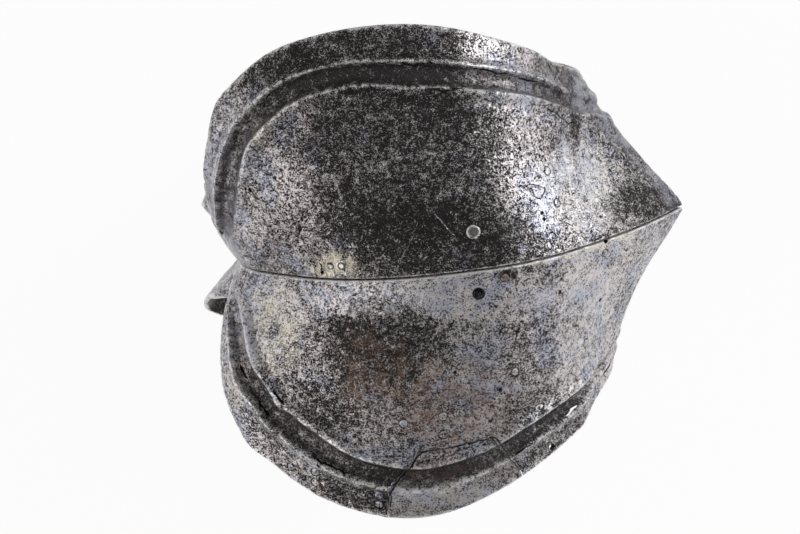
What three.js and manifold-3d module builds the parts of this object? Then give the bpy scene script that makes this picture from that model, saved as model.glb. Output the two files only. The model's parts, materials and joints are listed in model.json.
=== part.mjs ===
// A closed elbow cop of the early sixteenth century: two steel plates, an upper and a lower,
// lapped along the medial line from the rear notch round the point of the elbow, riveted flush,
// with a doubly stepped border, a pair of lace holes and an old riveted mend in the lower rim.
//
// The cop is drawn as it is worn (x from the notch at the rear to the point of the elbow,
// y to the side next to the body, z up the arm) and then laid down on its narrow side,
// with the broad wing up, as it lies on a table.

import * as THREE from "three";
import { mergeVertices } from "three/addons/utils/BufferGeometryUtils.js";
import Module from "manifold-3d";

const wasm = await Module();
wasm.setup();

// Overall sizes, in millimetres
const COP_LENGTH = 148;
const HALF_WIDTH = 58;
const WING_HEIGHT = 84;
const WALL = 1.4;

// Medial seam: the upper plate laps over a flange of the lower one
const SEAM_GAP = 0.6;
const SEAM_LAP = 8.5;
const FLANGE_ROOT = 4.5;
const FLANGE_TURN = 1.1;
const FLANGE_ROOT_DEPTH = 0.84;

// Border: a flat rim band, an outer crest, a hollow and an inner crest
const UPPER_RIM_BAND = 12;
const LOWER_RIM_BAND = 11;
const UPPER_HOLLOW = 8.6;
const LOWER_HOLLOW = 8;
const CREST_RUN = 1.3;
const CREST_RISE = 0.9;
const HOLLOW_DEPTH = 0.5;

// Point of the elbow: sharp at the medial line, rounder towards the rims
const NOSE_RADIUS = 8;
const POINT_BLUNT = 3;

// Rear: the narrow side runs on under the wing
const REAR_CLEARANCE = 0.9;

// Rest: the flank isn't quite flat, so the cop tips towards the keel and rolls to the rear
// until three points of it bear
const REST_TIP_DEGREES = 1.401;
const REST_ROLL_DEGREES = 1.101;

// Rivets
const HEAD_RADIUS = 1.3;
const HEAD_DEPTH = 0.8;
const HEAD_PROUD = 0.15;
const SHANK_RADIUS = 0.8;
const RIVET_CLEARANCE = 0.3;
const TAIL_RADIUS = 1.6;
const TAIL_HEIGHT = 0.9;
const TAIL_CLEARANCE = 0.45;
const LINING_STRIP = 0.6;
const TWIN_HEAD_RADIUS = 1;
const TWIN_SHANK_RADIUS = 0.6;
const TWIN_TAIL_RADIUS = 1.2;
const PLUG_HEAD_RADIUS = 2.3;
const PLUG_SHANK_RADIUS = 1.6;
const PLUG_TAIL_RADIUS = 2.7;
const LACE_HOLE_RADIUS = 1.9;

// Mend in the lower rim
const MEND_GAP = 0.35;
const MEND_REACH = 16;
const MEND_LAP_WALL = 1.2;
const MEND_LAP_HEIGHT = 42;
const MEND_LAP_SETBACK = 1.3;

// Facets
const NEAR_STATIONS = 38;
const FAR_STATIONS = 36;
const RIVET_SIDES = 8;
const LACE_HOLE_SIDES = 16;
const OVERRUN = 4;

// Steel
const COLOUR_UPPER = 0x4a4e55;
const COLOUR_LOWER = 0x5d646e;
const COLOUR_RIVET = 0x55504a;
const COLOUR_MEND = 0x5b5148;

// Along the cop, shares of one side run from the rear notch (0) to the point (1);
// on the far side they run from the point (0) to the rear (1) and on under the wing.
const UNDER_WING_SHARE = 0.08;
const NEAR_CLOSER_SHARE = 0.45;
const FAR_CLOSER_SHARE = 0.15;
const FLANGE_START_SHARE = 0.1;
const CENTRE_SHARE = 0.474;
const NOSE_SHARE = 0.58;
const NOSE_SLOPE_SHARE = 0.6;
const NOSE_START_SHARE = 0.7;
const NOSE_FULL_SHARE = 0.95;
const POINT_START_SHARE = 0.85;
const REAR_INSET_START_SHARE = 1.86;
const REAR_INSET_END_SHARE = 1.97;
const STEP_SHARE = 0.004;
const EDGE_STRIP_SHARE = 0.04;

// Border: most of a plate's height that it may take, the rows of points between it and the
// seam, and where its crests rise and end
const BORDER_SHARE = 0.62;
const BOWL_ROW_SHARES = [0.45, 0.84, 1];
const FULL_CREST_SHARES = [0.25, 0.9];
const CREST_END_SHARES = [1.84, 1.94];

// Medial line in plan: share along, length share, half-width share
const NEAR_PLAN_SHARES = [
  [0, 0, 0],
  [0.05, 0.012, 0.19],
  [0.1, 0.044, 0.354],
  [0.15, 0.089, 0.496],
  [0.22, 0.15, 0.67],
  [0.29, 0.223, 0.82],
  [0.405, 0.357, 0.965],
  [0.515, 0.49, 1],
  [0.595, 0.592, 0.985],
  [0.68, 0.69, 0.886],
  [0.79, 0.803, 0.658],
  [0.843, 0.854, 0.524],
  [0.909, 0.917, 0.329],
  [1, 1, 0],
];
const FAR_PLAN_SHARES = [
  [0, 1, 0],
  [0.09, 0.917, 0.33],
  [0.157, 0.854, 0.524],
  [0.21, 0.8, 0.65],
  [0.32, 0.69, 0.86],
  [0.42, 0.582, 0.945],
  [0.53, 0.464, 0.965],
  [0.64, 0.316, 0.94],
  [0.76, 0.187, 0.82],
  [0.86, 0.079, 0.58],
  [0.93, 0.02, 0.3],
  [0.97, 0.004, 0.11],
  [1, 0, 0],
];

// Draw of the wall towards the arm: share along, slope at the seam, bend over the wing's height,
// and what the lower plate adds to the slope by the seam and to the bend. A slope above zero
// makes a keel, one below zero the cleft at the rear.
const FLANK_SLOPE_SHARE = 0.231;
const NEAR_DRAW_SHARES = [
  [0, -0.62, 0.86, 0, -0.2],
  [0.052, -0.66, 0.87, 0, -0.18],
  [0.064, -0.66, 0.84, 0, -0.15],
  [0.082, -0.63, 0.74, 0, -0.1],
  [0.102, -0.58, 0.61, 0, -0.05],
  [0.13, -0.49, 0.5, 0, 0],
  [0.194, -0.33, 0.344, 0, 0],
  [0.244, -0.22, 0.269, 0, 0],
  [0.37, -0.04, 0.164, 0, 0],
  [0.45, 0.02, 0.139, 0, 0],
  [0.556, 0.1, 0.091, 0, 0],
  [0.67, 0.22, 0.008, 0, 0],
  [0.74, 0.32, -0.084, 0.02, 0],
  [0.817, 0.45, -0.21, 0.06, 0],
  [0.906, 0.66, -0.36, 0.12, 0],
  [1, 0.85, -0.52, 0.2, 0],
];
const FAR_DRAW_SHARES = [
  [0, 0.85, -0.52, 0.2, 0],
  [0.1, 0.62, -0.31, 0.12, 0],
  [0.2, 0.42, -0.16, 0.04, 0],
  [0.3, 0.27, -0.04, 0, 0],
  [0.4, FLANK_SLOPE_SHARE, 0, 0, 0],
  [0.62, FLANK_SLOPE_SHARE, 0, 0, 0],
  [0.74, 0.1, 0, 0, 0],
  [0.82, -0.14, 0, 0, 0],
  [0.88, -0.44, 0, -0.15, 0],
  [0.93, -0.78, 0, -0.33, 0],
  [0.965, -0.82, 0.3, -0.38, 0],
  [1, -0.62, 0.86, 0, -0.2],
];

// Free edge and rim of the broad wing: share along, share along at the edge, height share
const UPPER_EDGE_SHARES = [
  [0, 0.011, 0.048],
  [0.04, 0.03, 0.16],
  [0.09, 0.0445, 0.25],
  [0.15, 0.055, 0.34],
  [0.22, 0.073, 0.5],
  [0.28, 0.1, 0.69],
  [0.325, 0.135, 0.8],
  [0.375, 0.19, 0.91],
  [0.42, 0.245, 0.958],
  [0.465, 0.308, 0.988],
  [0.505, 0.37, 0.995],
  [0.56, 0.45, 0.986],
  [0.63, 0.556, 0.948],
  [0.71, 0.67, 0.866],
  [0.765, 0.74, 0.807],
  [0.83, 0.817, 0.739],
  [0.91, 0.906, 0.663],
  [1, 1, 0.595],
];
const LOWER_EDGE_SHARES = [
  [0, 0.011, 0.05],
  [0.04, 0.03, 0.12],
  [0.09, 0.045, 0.23],
  [0.15, 0.055, 0.36],
  [0.22, 0.068, 0.5],
  [0.28, 0.09, 0.63],
  [0.33, 0.13, 0.768],
  [0.375, 0.182, 0.872],
  [0.425, 0.26, 0.962],
  [0.47, 0.327, 0.993],
  [0.51, 0.378, 1],
  [0.565, 0.463, 0.975],
  [0.62, 0.54, 0.932],
  [0.675, 0.614, 0.879],
  [0.74, 0.7, 0.825],
  [0.81, 0.79, 0.775],
  [0.88, 0.87, 0.728],
  [0.935, 0.93, 0.66],
  [1, 1, 0.593],
];

// Rim of the narrow side: share along, upper height share, lower height share
const FAR_EDGE_SHARES = [
  [0, 0.595, 0.593],
  [0.1, 0.6, 0.6],
  [0.6, 0.6, 0.6],
  [0.72, 0.55, 0.55],
  [0.82, 0.39, 0.41],
  [0.88, 0.28, 0.33],
  [0.915, 0.22, 0.25],
  [0.94, 0.195, 0.175],
  [0.97, 0.2, 0.14],
  [1, 0.225, 0.14],
  [1.035, 0.28, 0.18],
  [1.1, 0.32, 0.3],
];

// Width of the border as it goes round: share along, upper plate, lower plate
const BORDER_WIDTH_SHARES = [
  [0, 0.9, 1],
  [0.2, 0.92, 1],
  [0.27, 0.98, 1.16],
  [0.334, 0.97, 1.27],
  [0.4, 0.92, 1.13],
  [0.47, 0.93, 1.04],
  [0.54, 1.04, 0.98],
  [0.62, 0.98, 0.88],
  [0.7, 0.87, 0.9],
  [0.8, 0.8, 0.83],
  [0.87, 0.78, 0.75],
  [0.94, 0.8, 0.56],
  [1, 0.85, 0.55],
  [1.12, 0.85, 0.75],
  [1.3, 0.85, 0.85],
];

// Rivets: name, share along, height share, sort
const RIVET_PLACE_SHARES = [
  ["seam_rivet_near_1", 0.276, 0.06, "twin"],
  ["seam_rivet_near_2", 0.297, 0.06, "twin"],
  ["seam_rivet_near_3", 0.683, 0.048, "seam"],
  ["seam_rivet_near_4", 0.814, -0.054, "seam"],
  ["seam_rivet_near_5", 0.591, -0.042, "seam"],
  ["seam_rivet_far_1", 1.25, 0.055, "seam"],
  ["seam_rivet_far_2", 1.55, 0.055, "seam"],
  ["seam_rivet_far_3", 1.8, 0.055, "seam"],
  ["rear_rivet_upper", 0.058, 0.16, "rear"],
  ["rear_rivet_lower", 0.058, -0.16, "rear"],
  ["lining_rivet_1", 0.728, 0.32, "lining"],
  ["lining_rivet_2", 0.728, 0.193, "lining"],
  ["lining_rivet_3", 0.81, -0.42, "lining"],
  ["lining_rivet_4", 0.198, -0.823, "lining"],
  ["lining_rivet_5", 0.203, -0.778, "lining"],
  ["lining_rivet_6", 0.161, -0.761, "lining"],
  ["mend_rivet_1", 0.299, -0.883, "mend"],
  ["mend_rivet_2", 0.294, -0.925, "mend"],
  ["mend_rivet_3", 0.371, -0.589, "mend"],
  ["mend_rivet_4", 0.448, -0.577, "mend"],
  ["mend_rivet_5", 0.443, -0.654, "mend"],
  ["mend_rivet_6", 0.599, -0.439, "mend"],
];
const BLOCKED_HOLE_PLACE_SHARES = [0.546, 0.155];
const TAIL_CROWN_SHARE = 0.5;
const LACE_HOLE_PLACE_SHARES = [0.542, -0.09];

// Outline of the mend in the lower rim: share along, height share
const MEND_OUTLINE_SHARES = [
  [0.29, -1.1],
  [0.306, -0.954],
  [0.319, -0.871],
  [0.353, -0.795],
  [0.391, -0.716],
  [0.443, -0.711],
  [0.542, -0.694],
  [0.562, -0.747],
  [0.603, -0.857],
  [0.64, -1],
];
const MEND_MIDDLE_SHARES = [0.45, -0.85];
const MEND_SPAN_SHARES = [0.415, 0.7];

// Smooth value between the rows of a table, without overshoot
function rowAt(rows, at) {
  const last = rows.length - 1;
  const x = Math.min(Math.max(at, rows[0][0]), rows[last][0]);
  let i = 0;
  while (i < last - 1 && x > rows[i + 1][0]) i += 1;
  const span = rows[i + 1][0] - rows[i][0];
  const t = (x - rows[i][0]) / span;
  const secant = (k, c) => (rows[k + 1][c] - rows[k][c]) / (rows[k + 1][0] - rows[k][0]);
  const tangent = (k, c) => {
    if (k === 0) return secant(0, c);
    if (k === last) return secant(last - 1, c);
    const before = secant(k - 1, c);
    const after = secant(k, c);
    return before * after <= 0 ? 0 : (2 * before * after) / (before + after);
  };
  return rows[0].slice(1).map((_, n) => {
    const c = n + 1;
    const t2 = t * t;
    const t3 = t2 * t;
    return (
      (2 * t3 - 3 * t2 + 1) * rows[i][c] +
      (t3 - 2 * t2 + t) * span * tangent(i, c) +
      (3 * t2 - 2 * t3) * rows[i + 1][c] +
      (t3 - t2) * span * tangent(i + 1, c)
    );
  });
}

const smooth = (low, high, x) => {
  const t = Math.min(Math.max((x - low) / (high - low), 0), 1);
  return t * t * (3 - 2 * t);
};

// Place on the outer surface: `along` runs 0..1 on the wing's side, 1..2 on the narrow side
// and past 2 under the wing; `height` is above the seam, or below it when side is -1.
const centre = new THREE.Vector2(COP_LENGTH * CENTRE_SHARE, 0);

function planAt(along, height) {
  const near = along <= 1 || along > 2;
  const rows = near ? NEAR_PLAN_SHARES : FAR_PLAN_SHARES;
  const [x, y] = rowAt(rows, along > 2 ? along - 2 : near ? along : along - 1);
  const wide = y * HALF_WIDTH;
  const round = NOSE_RADIUS * Math.min(height / (WING_HEIGHT * NOSE_SHARE), 1) ** 2;
  const share = NOSE_SLOPE_SHARE * smooth(NOSE_START_SHARE, NOSE_FULL_SHARE, x);
  const back = (Math.hypot(wide, round) - wide) * share;
  return new THREE.Vector2(x * COP_LENGTH - back, near ? -wide : wide);
}

function drawAt(along, height, side) {
  const near = along <= 1 || along > 2;
  const rows = near ? NEAR_DRAW_SHARES : FAR_DRAW_SHARES;
  const at = along > 2 ? along - 2 : near ? along : along - 1;
  const [slope, bend, below, belowBend] = rowAt(rows, at);
  const fade = 1 - Math.min(height / (WING_HEIGHT * NOSE_SHARE), 1);
  const lower = side < 0 ? 1 : 0;
  const rise = height / WING_HEIGHT;
  const draw = height * (slope + lower * below * fade + (bend + lower * belowBend) * rise);
  const [x] = rowAt(near ? NEAR_PLAN_SHARES : FAR_PLAN_SHARES, at);
  const blunt = POINT_BLUNT * smooth(POINT_START_SHARE, 1, x);
  return draw > 0 ? Math.hypot(draw, blunt) - blunt : draw;
}

function bareAt(along, height, side) {
  const plan = planAt(along, height);
  const out = plan.clone().sub(centre);
  const reach = out.length();
  out.setLength(reach - drawAt(along, height, side)).add(centre);
  return new THREE.Vector3(out.x, out.y, side * height);
}

function normalAt(along, height, side) {
  const rise = STEP_SHARE * WING_HEIGHT;
  const a = bareAt(along - STEP_SHARE, height, side);
  const b = bareAt(along + STEP_SHARE, height, side);
  const c = bareAt(along, height, side);
  const d = bareAt(along, height + rise, side);
  const run = b.sub(a);
  const up = d.sub(c).multiplyScalar(side);
  const normal = run.cross(up).normalize();
  const outward = new THREE.Vector3(c.x - centre.x, c.y - centre.y, 0);
  return normal.dot(outward) < 0 ? normal.negate() : normal;
}

// Inset of the narrow side where it passes under the wing
function insetAt(along) {
  const deep = WALL + SEAM_GAP + REAR_CLEARANCE;
  return smooth(REAR_INSET_START_SHARE, REAR_INSET_END_SHARE, along) * deep;
}

// Edge of a plate on each station: share along at the edge and height. A station's line runs
// from the edge to its place on the seam, at a slant where the free edge falls to the notch.
function edgeAt(station, side) {
  if (station <= 1) {
    const [along, height] = rowAt(side > 0 ? UPPER_EDGE_SHARES : LOWER_EDGE_SHARES, station);
    return { along, height: height * WING_HEIGHT };
  }
  const [upper, lower] = rowAt(FAR_EDGE_SHARES, station - 1);
  return { along: station, height: (side > 0 ? upper : lower) * WING_HEIGHT };
}

function onLine(station, side, height) {
  const edge = edgeAt(station, side);
  const share = 1 - height / edge.height;
  return bareAt(edge.along + (station - edge.along) * share, height, side);
}

// Square distance from the edge for each unit of height down a station's line
function slantAt(station, side) {
  const edge = edgeAt(station, side);
  const drop = edge.height * EDGE_STRIP_SHARE;
  const start = onLine(station, side, edge.height);
  const down = onLine(station, side, edge.height - drop).sub(start);
  const before = edgeAt(station - STEP_SHARE, side);
  const after = edgeAt(station + STEP_SHARE, side);
  const run = bareAt(after.along, after.height, side).sub(
    bareAt(before.along, before.height, side),
  );
  run.normalize();
  return down.addScaledVector(run, -down.dot(run)).length() / drop;
}

// Border profile: distance from the rim and rise of the surface there
function borderRows(side) {
  const outer = side > 0 ? UPPER_RIM_BAND : LOWER_RIM_BAND;
  const inner = outer + (side > 0 ? UPPER_HOLLOW : LOWER_HOLLOW);
  return [
    [0, 0],
    [outer - CREST_RUN, 0],
    [outer, CREST_RISE],
    [outer + CREST_RUN, -HOLLOW_DEPTH],
    [inner - CREST_RUN, -HOLLOW_DEPTH],
    [inner, CREST_RISE],
    [inner + CREST_RUN, 0],
  ];
}

function borderScale(station, side) {
  const rows = borderRows(side);
  const reach = rows[rows.length - 1][0];
  const room = edgeAt(station, side).height * slantAt(station, side) * BORDER_SHARE;
  const [upper, lower] = rowAt(BORDER_WIDTH_SHARES, station);
  const wide = side > 0 ? upper : lower;
  const fit = room / reach / wide;
  return (wide * fit) / Math.sqrt(Math.hypot(1, fit ** 2));
}

// Point of a plate: `height` above the seam on a station's line, `depth` inwards from the
// outer surface; by the seam both faces meet it square, which `flat` asks for
function plateAt(station, side, height, rise, depth, flat) {
  const edge = edgeAt(station, side);
  const along = edge.along + (station - edge.along) * (1 - height / edge.height);
  const place = bareAt(along, height, side);
  const normal = normalAt(along, height, side);
  const offset = rise - depth - insetAt(station);
  if (flat) {
    const out = new THREE.Vector3(place.x - centre.x, place.y - centre.y, 0).normalize();
    return place.addScaledVector(out, offset / normal.dot(out));
  }
  return place.addScaledVector(normal, offset);
}

// Closed sheet between an outer and an inner grid of points
function sheet(outer, inner) {
  const rows = outer.length;
  const cols = outer[0].length;
  const points = [...outer.flat(), ...inner.flat()];
  const count = rows * cols;
  const index = [];
  const quad = (a, b, c, d) => index.push(a, b, c, a, c, d);
  const at = (i, j) => i * cols + j;
  for (let i = 0; i < rows - 1; i += 1) {
    for (let j = 0; j < cols - 1; j += 1) {
      quad(at(i, j), at(i + 1, j), at(i + 1, j + 1), at(i, j + 1));
      quad(count + at(i, j), count + at(i, j + 1), count + at(i + 1, j + 1), count + at(i + 1, j));
    }
    const j = cols - 1;
    quad(at(i, 0), count + at(i, 0), count + at(i + 1, 0), at(i + 1, 0));
    quad(at(i, j), at(i + 1, j), count + at(i + 1, j), count + at(i, j));
  }
  for (let j = 0; j < cols - 1; j += 1) {
    const i = rows - 1;
    quad(at(0, j), at(0, j + 1), count + at(0, j + 1), count + at(0, j));
    quad(at(i, j), count + at(i, j), count + at(i, j + 1), at(i, j + 1));
  }
  const flatPoints = points.flatMap((p) => [p.x, p.y, p.z]);
  return solidFrom(new Float32Array(flatPoints), new Uint32Array(index));
}

// Solid of a closed triangle mesh, with its faces turned outwards
function solidFrom(positions, triangles) {
  const p = (k) => new THREE.Vector3().fromArray(positions, 3 * k);
  let volume = 0;
  for (let i = 0; i < triangles.length; i += 3) {
    volume += p(triangles[i]).dot(p(triangles[i + 1]).cross(p(triangles[i + 2])));
  }
  if (volume < 0) {
    for (let i = 0; i < triangles.length; i += 3) {
      [triangles[i + 1], triangles[i + 2]] = [triangles[i + 2], triangles[i + 1]];
    }
  }
  const mesh = new wasm.Mesh({ numProp: 3, vertProperties: positions, triVerts: triangles });
  return new wasm.Manifold(mesh);
}

function solidOfGeometry(geometry) {
  const bare = geometry.clone();
  bare.deleteAttribute("normal");
  bare.deleteAttribute("uv");
  const merged = mergeVertices(bare);
  return solidFrom(
    new Float32Array(merged.attributes.position.array),
    new Uint32Array(merged.index.array),
  );
}

function geometryOf(solid) {
  const mesh = solid.getMesh();
  const geometry = new THREE.BufferGeometry();
  geometry.setAttribute("position", new THREE.BufferAttribute(mesh.vertProperties, 3));
  geometry.setIndex(new THREE.BufferAttribute(mesh.triVerts, 1));
  geometry.computeVertexNormals();
  return geometry;
}

// Stations from the rear edge of the wing round the point to the end under the wing, closer
// together by the rear and the point
function stations() {
  const closer = (t, share) => t - (share * Math.sin(2 * Math.PI * t)) / (2 * Math.PI);
  const list = [];
  for (let i = 0; i < NEAR_STATIONS; i += 1) {
    list.push(closer(i / NEAR_STATIONS, NEAR_CLOSER_SHARE));
  }
  for (let i = 0; i <= FAR_STATIONS; i += 1) {
    list.push(1 + (1 + UNDER_WING_SHARE) * closer(i / FAR_STATIONS, FAR_CLOSER_SHARE));
  }
  return list;
}

// Shell of a plate between two depths below the outer surface
function shell(side, from, to, list) {
  const rows = borderRows(side);
  const outer = [];
  const inner = [];
  for (const station of list) {
    const edge = edgeAt(station, side).height;
    const scale = borderScale(station, side);
    const fade = smooth(...FULL_CREST_SHARES, scale) * (1 - smooth(...CREST_END_SHARES, station));
    const drop = scale / slantAt(station, side);
    const profile = rows.map(([distance, rise]) => [edge - distance * drop, rise * fade]);
    const top = profile[profile.length - 1][0];
    const foot = side > 0 ? SEAM_GAP : 0;
    for (const share of BOWL_ROW_SHARES) profile.push([top + (foot - top) * share, 0]);
    const isFoot = (k) => k === profile.length - 1;
    outer.push(profile.map(([h, rise], k) => plateAt(station, side, h, rise, from, isFoot(k))));
    inner.push(profile.map(([h, rise], k) => plateAt(station, side, h, rise, to, isFoot(k))));
  }
  return sheet(outer, inner);
}

// Flange of the lower plate under the edge of the upper one
function flange(list) {
  const outer = [];
  const inner = [];
  for (const station of list) {
    const lap = Math.min(SEAM_LAP, edgeAt(station, 1).height / 2);
    const strip = (root, depth) => [
      plateAt(station, -1, FLANGE_ROOT, 0, root, false),
      plateAt(station, -1, FLANGE_TURN, 0, root, false),
      plateAt(station, 1, 0, 0, depth, true),
      plateAt(station, 1, lap / 2, 0, depth, false),
      plateAt(station, 1, lap, 0, depth, false),
    ];
    outer.push(strip(FLANGE_ROOT_DEPTH, WALL + SEAM_GAP));
    inner.push(strip(FLANGE_ROOT_DEPTH + WALL, 2 * WALL + SEAM_GAP));
  }
  return sheet(outer, inner);
}

// Local frame on the outer surface: place and the direction outwards
function seatAt(along, heightShare) {
  const side = heightShare < 0 ? -1 : 1;
  const height = Math.abs(heightShare) * WING_HEIGHT;
  const place = bareAt(along, height, side);
  const out = normalAt(along, height, side);
  return { place, out };
}

// Turned piece along the direction outwards; its profile is given as radius and depth inwards
function turned(profile, sides, seat) {
  const points = profile.map(([radius, depth]) => new THREE.Vector2(radius, -depth));
  const geometry = new THREE.LatheGeometry(points, sides);
  const turn = new THREE.Quaternion().setFromUnitVectors(new THREE.Vector3(0, 1, 0), seat.out);
  geometry.applyQuaternion(turn);
  geometry.translate(seat.place.x, seat.place.y, seat.place.z);
  return geometry;
}

const ONE_WALL = WALL;
const TWO_WALLS = 2 * WALL + SEAM_GAP;
const RIVET_SORTS = {
  twin: {
    head: TWIN_HEAD_RADIUS,
    shank: TWIN_SHANK_RADIUS,
    tail: TWIN_TAIL_RADIUS,
    stack: TWO_WALLS,
  },
  seam: { head: HEAD_RADIUS, shank: SHANK_RADIUS, tail: TAIL_RADIUS, stack: TWO_WALLS },
  lining: {
    head: HEAD_RADIUS,
    shank: SHANK_RADIUS,
    tail: TAIL_RADIUS,
    stack: ONE_WALL + LINING_STRIP,
  },
  rear: {
    head: HEAD_RADIUS,
    shank: SHANK_RADIUS,
    tail: TAIL_RADIUS,
    stack: TWO_WALLS + REAR_CLEARANCE,
  },
  mend: {
    head: HEAD_RADIUS,
    shank: SHANK_RADIUS,
    tail: TAIL_RADIUS,
    stack: WALL + SEAM_GAP + MEND_LAP_WALL,
  },
  plug: {
    head: PLUG_HEAD_RADIUS,
    shank: PLUG_SHANK_RADIUS,
    tail: PLUG_TAIL_RADIUS,
    stack: ONE_WALL,
  },
};

function rivetGeometry(sort, seat) {
  const { head, shank, tail, stack } = sort;
  const under = stack + TAIL_CLEARANCE;
  return turned(
    [
      [0, -HEAD_PROUD],
      [head, -HEAD_PROUD],
      [head, 0],
      [shank, HEAD_DEPTH],
      [shank, under],
      [tail, under],
      [tail * TAIL_CROWN_SHARE, under + TAIL_HEIGHT],
      [0, under + TAIL_HEIGHT],
    ].reverse(),
    RIVET_SIDES,
    seat,
  );
}

function rivetHole(sort, seat) {
  const { head, shank, stack } = sort;
  return solidOfGeometry(
    turned(
      [
        [0, -OVERRUN],
        [head + RIVET_CLEARANCE, -OVERRUN],
        [head + RIVET_CLEARANCE, 0],
        [shank + RIVET_CLEARANCE, HEAD_DEPTH],
        [shank + RIVET_CLEARANCE, stack + OVERRUN],
        [0, stack + OVERRUN],
      ].reverse(),
      RIVET_SIDES,
      seat,
    ),
  );
}

// Prism over the mend's outline, square to the wall at its middle
function mendPrism(grow) {
  const seats = MEND_OUTLINE_SHARES.map(([along, share]) => seatAt(along, share).place);
  const middle = seatAt(...MEND_MIDDLE_SHARES);
  const east = new THREE.Vector3(1, 0, 0);
  east.addScaledVector(middle.out, -east.dot(middle.out)).normalize();
  const north = new THREE.Vector3().crossVectors(middle.out, east).normalize();
  const flat = seats.map((p) => {
    const d = p.clone().sub(middle.place);
    return new THREE.Vector2(d.dot(east), d.dot(north));
  });
  const hub = flat.reduce((sum, p) => sum.add(p), new THREE.Vector2()).divideScalar(flat.length);
  const grown = flat.map((p) => {
    const d = p.clone().sub(hub);
    return d.setLength(d.length() + grow).add(hub);
  });
  const geometry = new THREE.ExtrudeGeometry(new THREE.Shape(grown), {
    depth: MEND_REACH,
    bevelEnabled: false,
  });
  geometry.translate(0, 0, -MEND_REACH / 2);
  geometry.applyMatrix4(new THREE.Matrix4().makeBasis(east, north, middle.out));
  geometry.translate(middle.place.x, middle.place.y, middle.place.z);
  return solidOfGeometry(geometry);
}

// Plates
const all = stations();
let upperPlate = shell(1, 0, WALL, all);
const lapped = all.filter((station) => station >= FLANGE_START_SHARE);
let lowerPlate = shell(-1, 0, WALL, all).add(flange(lapped));

// Mend: a piece let into the rim, with a lap behind the plate round it
const mendSpan = all.filter(
  (station) => station >= MEND_SPAN_SHARES[0] && station <= MEND_SPAN_SHARES[1],
);

function mendLap(list) {
  const rows = borderRows(-1);
  const from = WALL + SEAM_GAP;
  const to = from + MEND_LAP_WALL;
  const outer = [];
  const inner = [];
  for (const station of list) {
    const edge = edgeAt(station, -1).height;
    const slant = slantAt(station, -1);
    const border = rows.slice(1).map(([distance, rise]) => [
      distance * borderScale(station, -1),
      rise,
    ]);
    const middle = (border[border.length - 1][0] + MEND_LAP_HEIGHT) / 2;
    const profile = [[MEND_LAP_SETBACK, 0], ...border, [middle, 0], [MEND_LAP_HEIGHT, 0]];
    const at = (depth) =>
      profile.map(([d, rise]) => plateAt(station, -1, edge - d / slant, rise, depth, false));
    outer.push(at(from));
    inner.push(at(to));
  }
  return sheet(outer, inner);
}

const insert = shell(-1, 0, WALL + SEAM_GAP + MEND_LAP_WALL / 2, mendSpan);
let rimMend = insert.intersect(mendPrism(-MEND_GAP)).add(mendLap(mendSpan));
lowerPlate = lowerPlate.subtract(mendPrism(0));

// Rivets and their holes
const pieces = [];
for (const [name, along, heightShare, sortName] of RIVET_PLACE_SHARES) {
  const sort = RIVET_SORTS[sortName];
  const seat = seatAt(along, heightShare);
  const hole = rivetHole(sort, seat);
  upperPlate = upperPlate.subtract(hole);
  lowerPlate = lowerPlate.subtract(hole);
  if (sortName === "mend") rimMend = rimMend.subtract(hole);
  pieces.push([name, rivetGeometry(sort, seat), COLOUR_RIVET]);
}

const plugSeat = seatAt(...BLOCKED_HOLE_PLACE_SHARES);
upperPlate = upperPlate.subtract(rivetHole(RIVET_SORTS.plug, plugSeat));
pieces.push(["lace_hole_plug", rivetGeometry(RIVET_SORTS.plug, plugSeat), COLOUR_RIVET]);

const laceSeat = seatAt(...LACE_HOLE_PLACE_SHARES);
const laceHole = turned(
  [
    [0, WALL + OVERRUN],
    [LACE_HOLE_RADIUS, WALL + OVERRUN],
    [LACE_HOLE_RADIUS, -OVERRUN],
    [0, -OVERRUN],
  ],
  LACE_HOLE_SIDES,
  laceSeat,
);
lowerPlate = lowerPlate.subtract(solidOfGeometry(laceHole));

// Assembly, laid down on the keel and the lower flank of the narrow side
const worn = new THREE.Group();

function place(name, geometry, colour) {
  const material = new THREE.MeshStandardMaterial({
    color: colour,
    roughness: 0.5,
    metalness: 0.9,
  });
  const mesh = new THREE.Mesh(geometry, material);
  mesh.name = name;
  worn.add(mesh);
}

place("upper_plate", geometryOf(upperPlate), COLOUR_UPPER);
place("lower_plate", geometryOf(lowerPlate), COLOUR_LOWER);
place("rim_mend", geometryOf(rimMend), COLOUR_MEND);
for (const [name, geometry, colour] of pieces) place(name, geometry, colour);

const lean = Math.atan(FLANK_SLOPE_SHARE) - THREE.MathUtils.degToRad(REST_TIP_DEGREES);
worn.rotation.order = "YXZ";
worn.rotation.x = lean - Math.PI / 2;
worn.rotation.y = -THREE.MathUtils.degToRad(REST_ROLL_DEGREES);
worn.updateMatrixWorld(true);

const box = new THREE.Box3().setFromObject(worn, true);
const elbowCop = new THREE.Group();
elbowCop.add(worn);
worn.position.set(-(box.min.x + box.max.x) / 2, -(box.min.y + box.max.y) / 2, -box.min.z);
elbowCop.updateMatrixWorld(true);

export default elbowCop;
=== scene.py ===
# %% [markdown]
# # An old elbow cop, dressed for its photograph
#
# The object is a closed elbow cop: two steel plates lapped along a medial line that runs round
# the point of the elbow, with a stepped border, a pair of lace holes, filed rivets and an old
# mend in the lower rim. The imported CAD part gives its size, its place and its nodes. This
# notebook builds the worn steel around it.
#
# The first cell loads that part. The dressed cop has to stay in it.

import json
import math

import bmesh
import bpy
import numpy as np
from mathutils import Matrix, Vector
from mathutils.bvhtree import BVHTree


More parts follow.
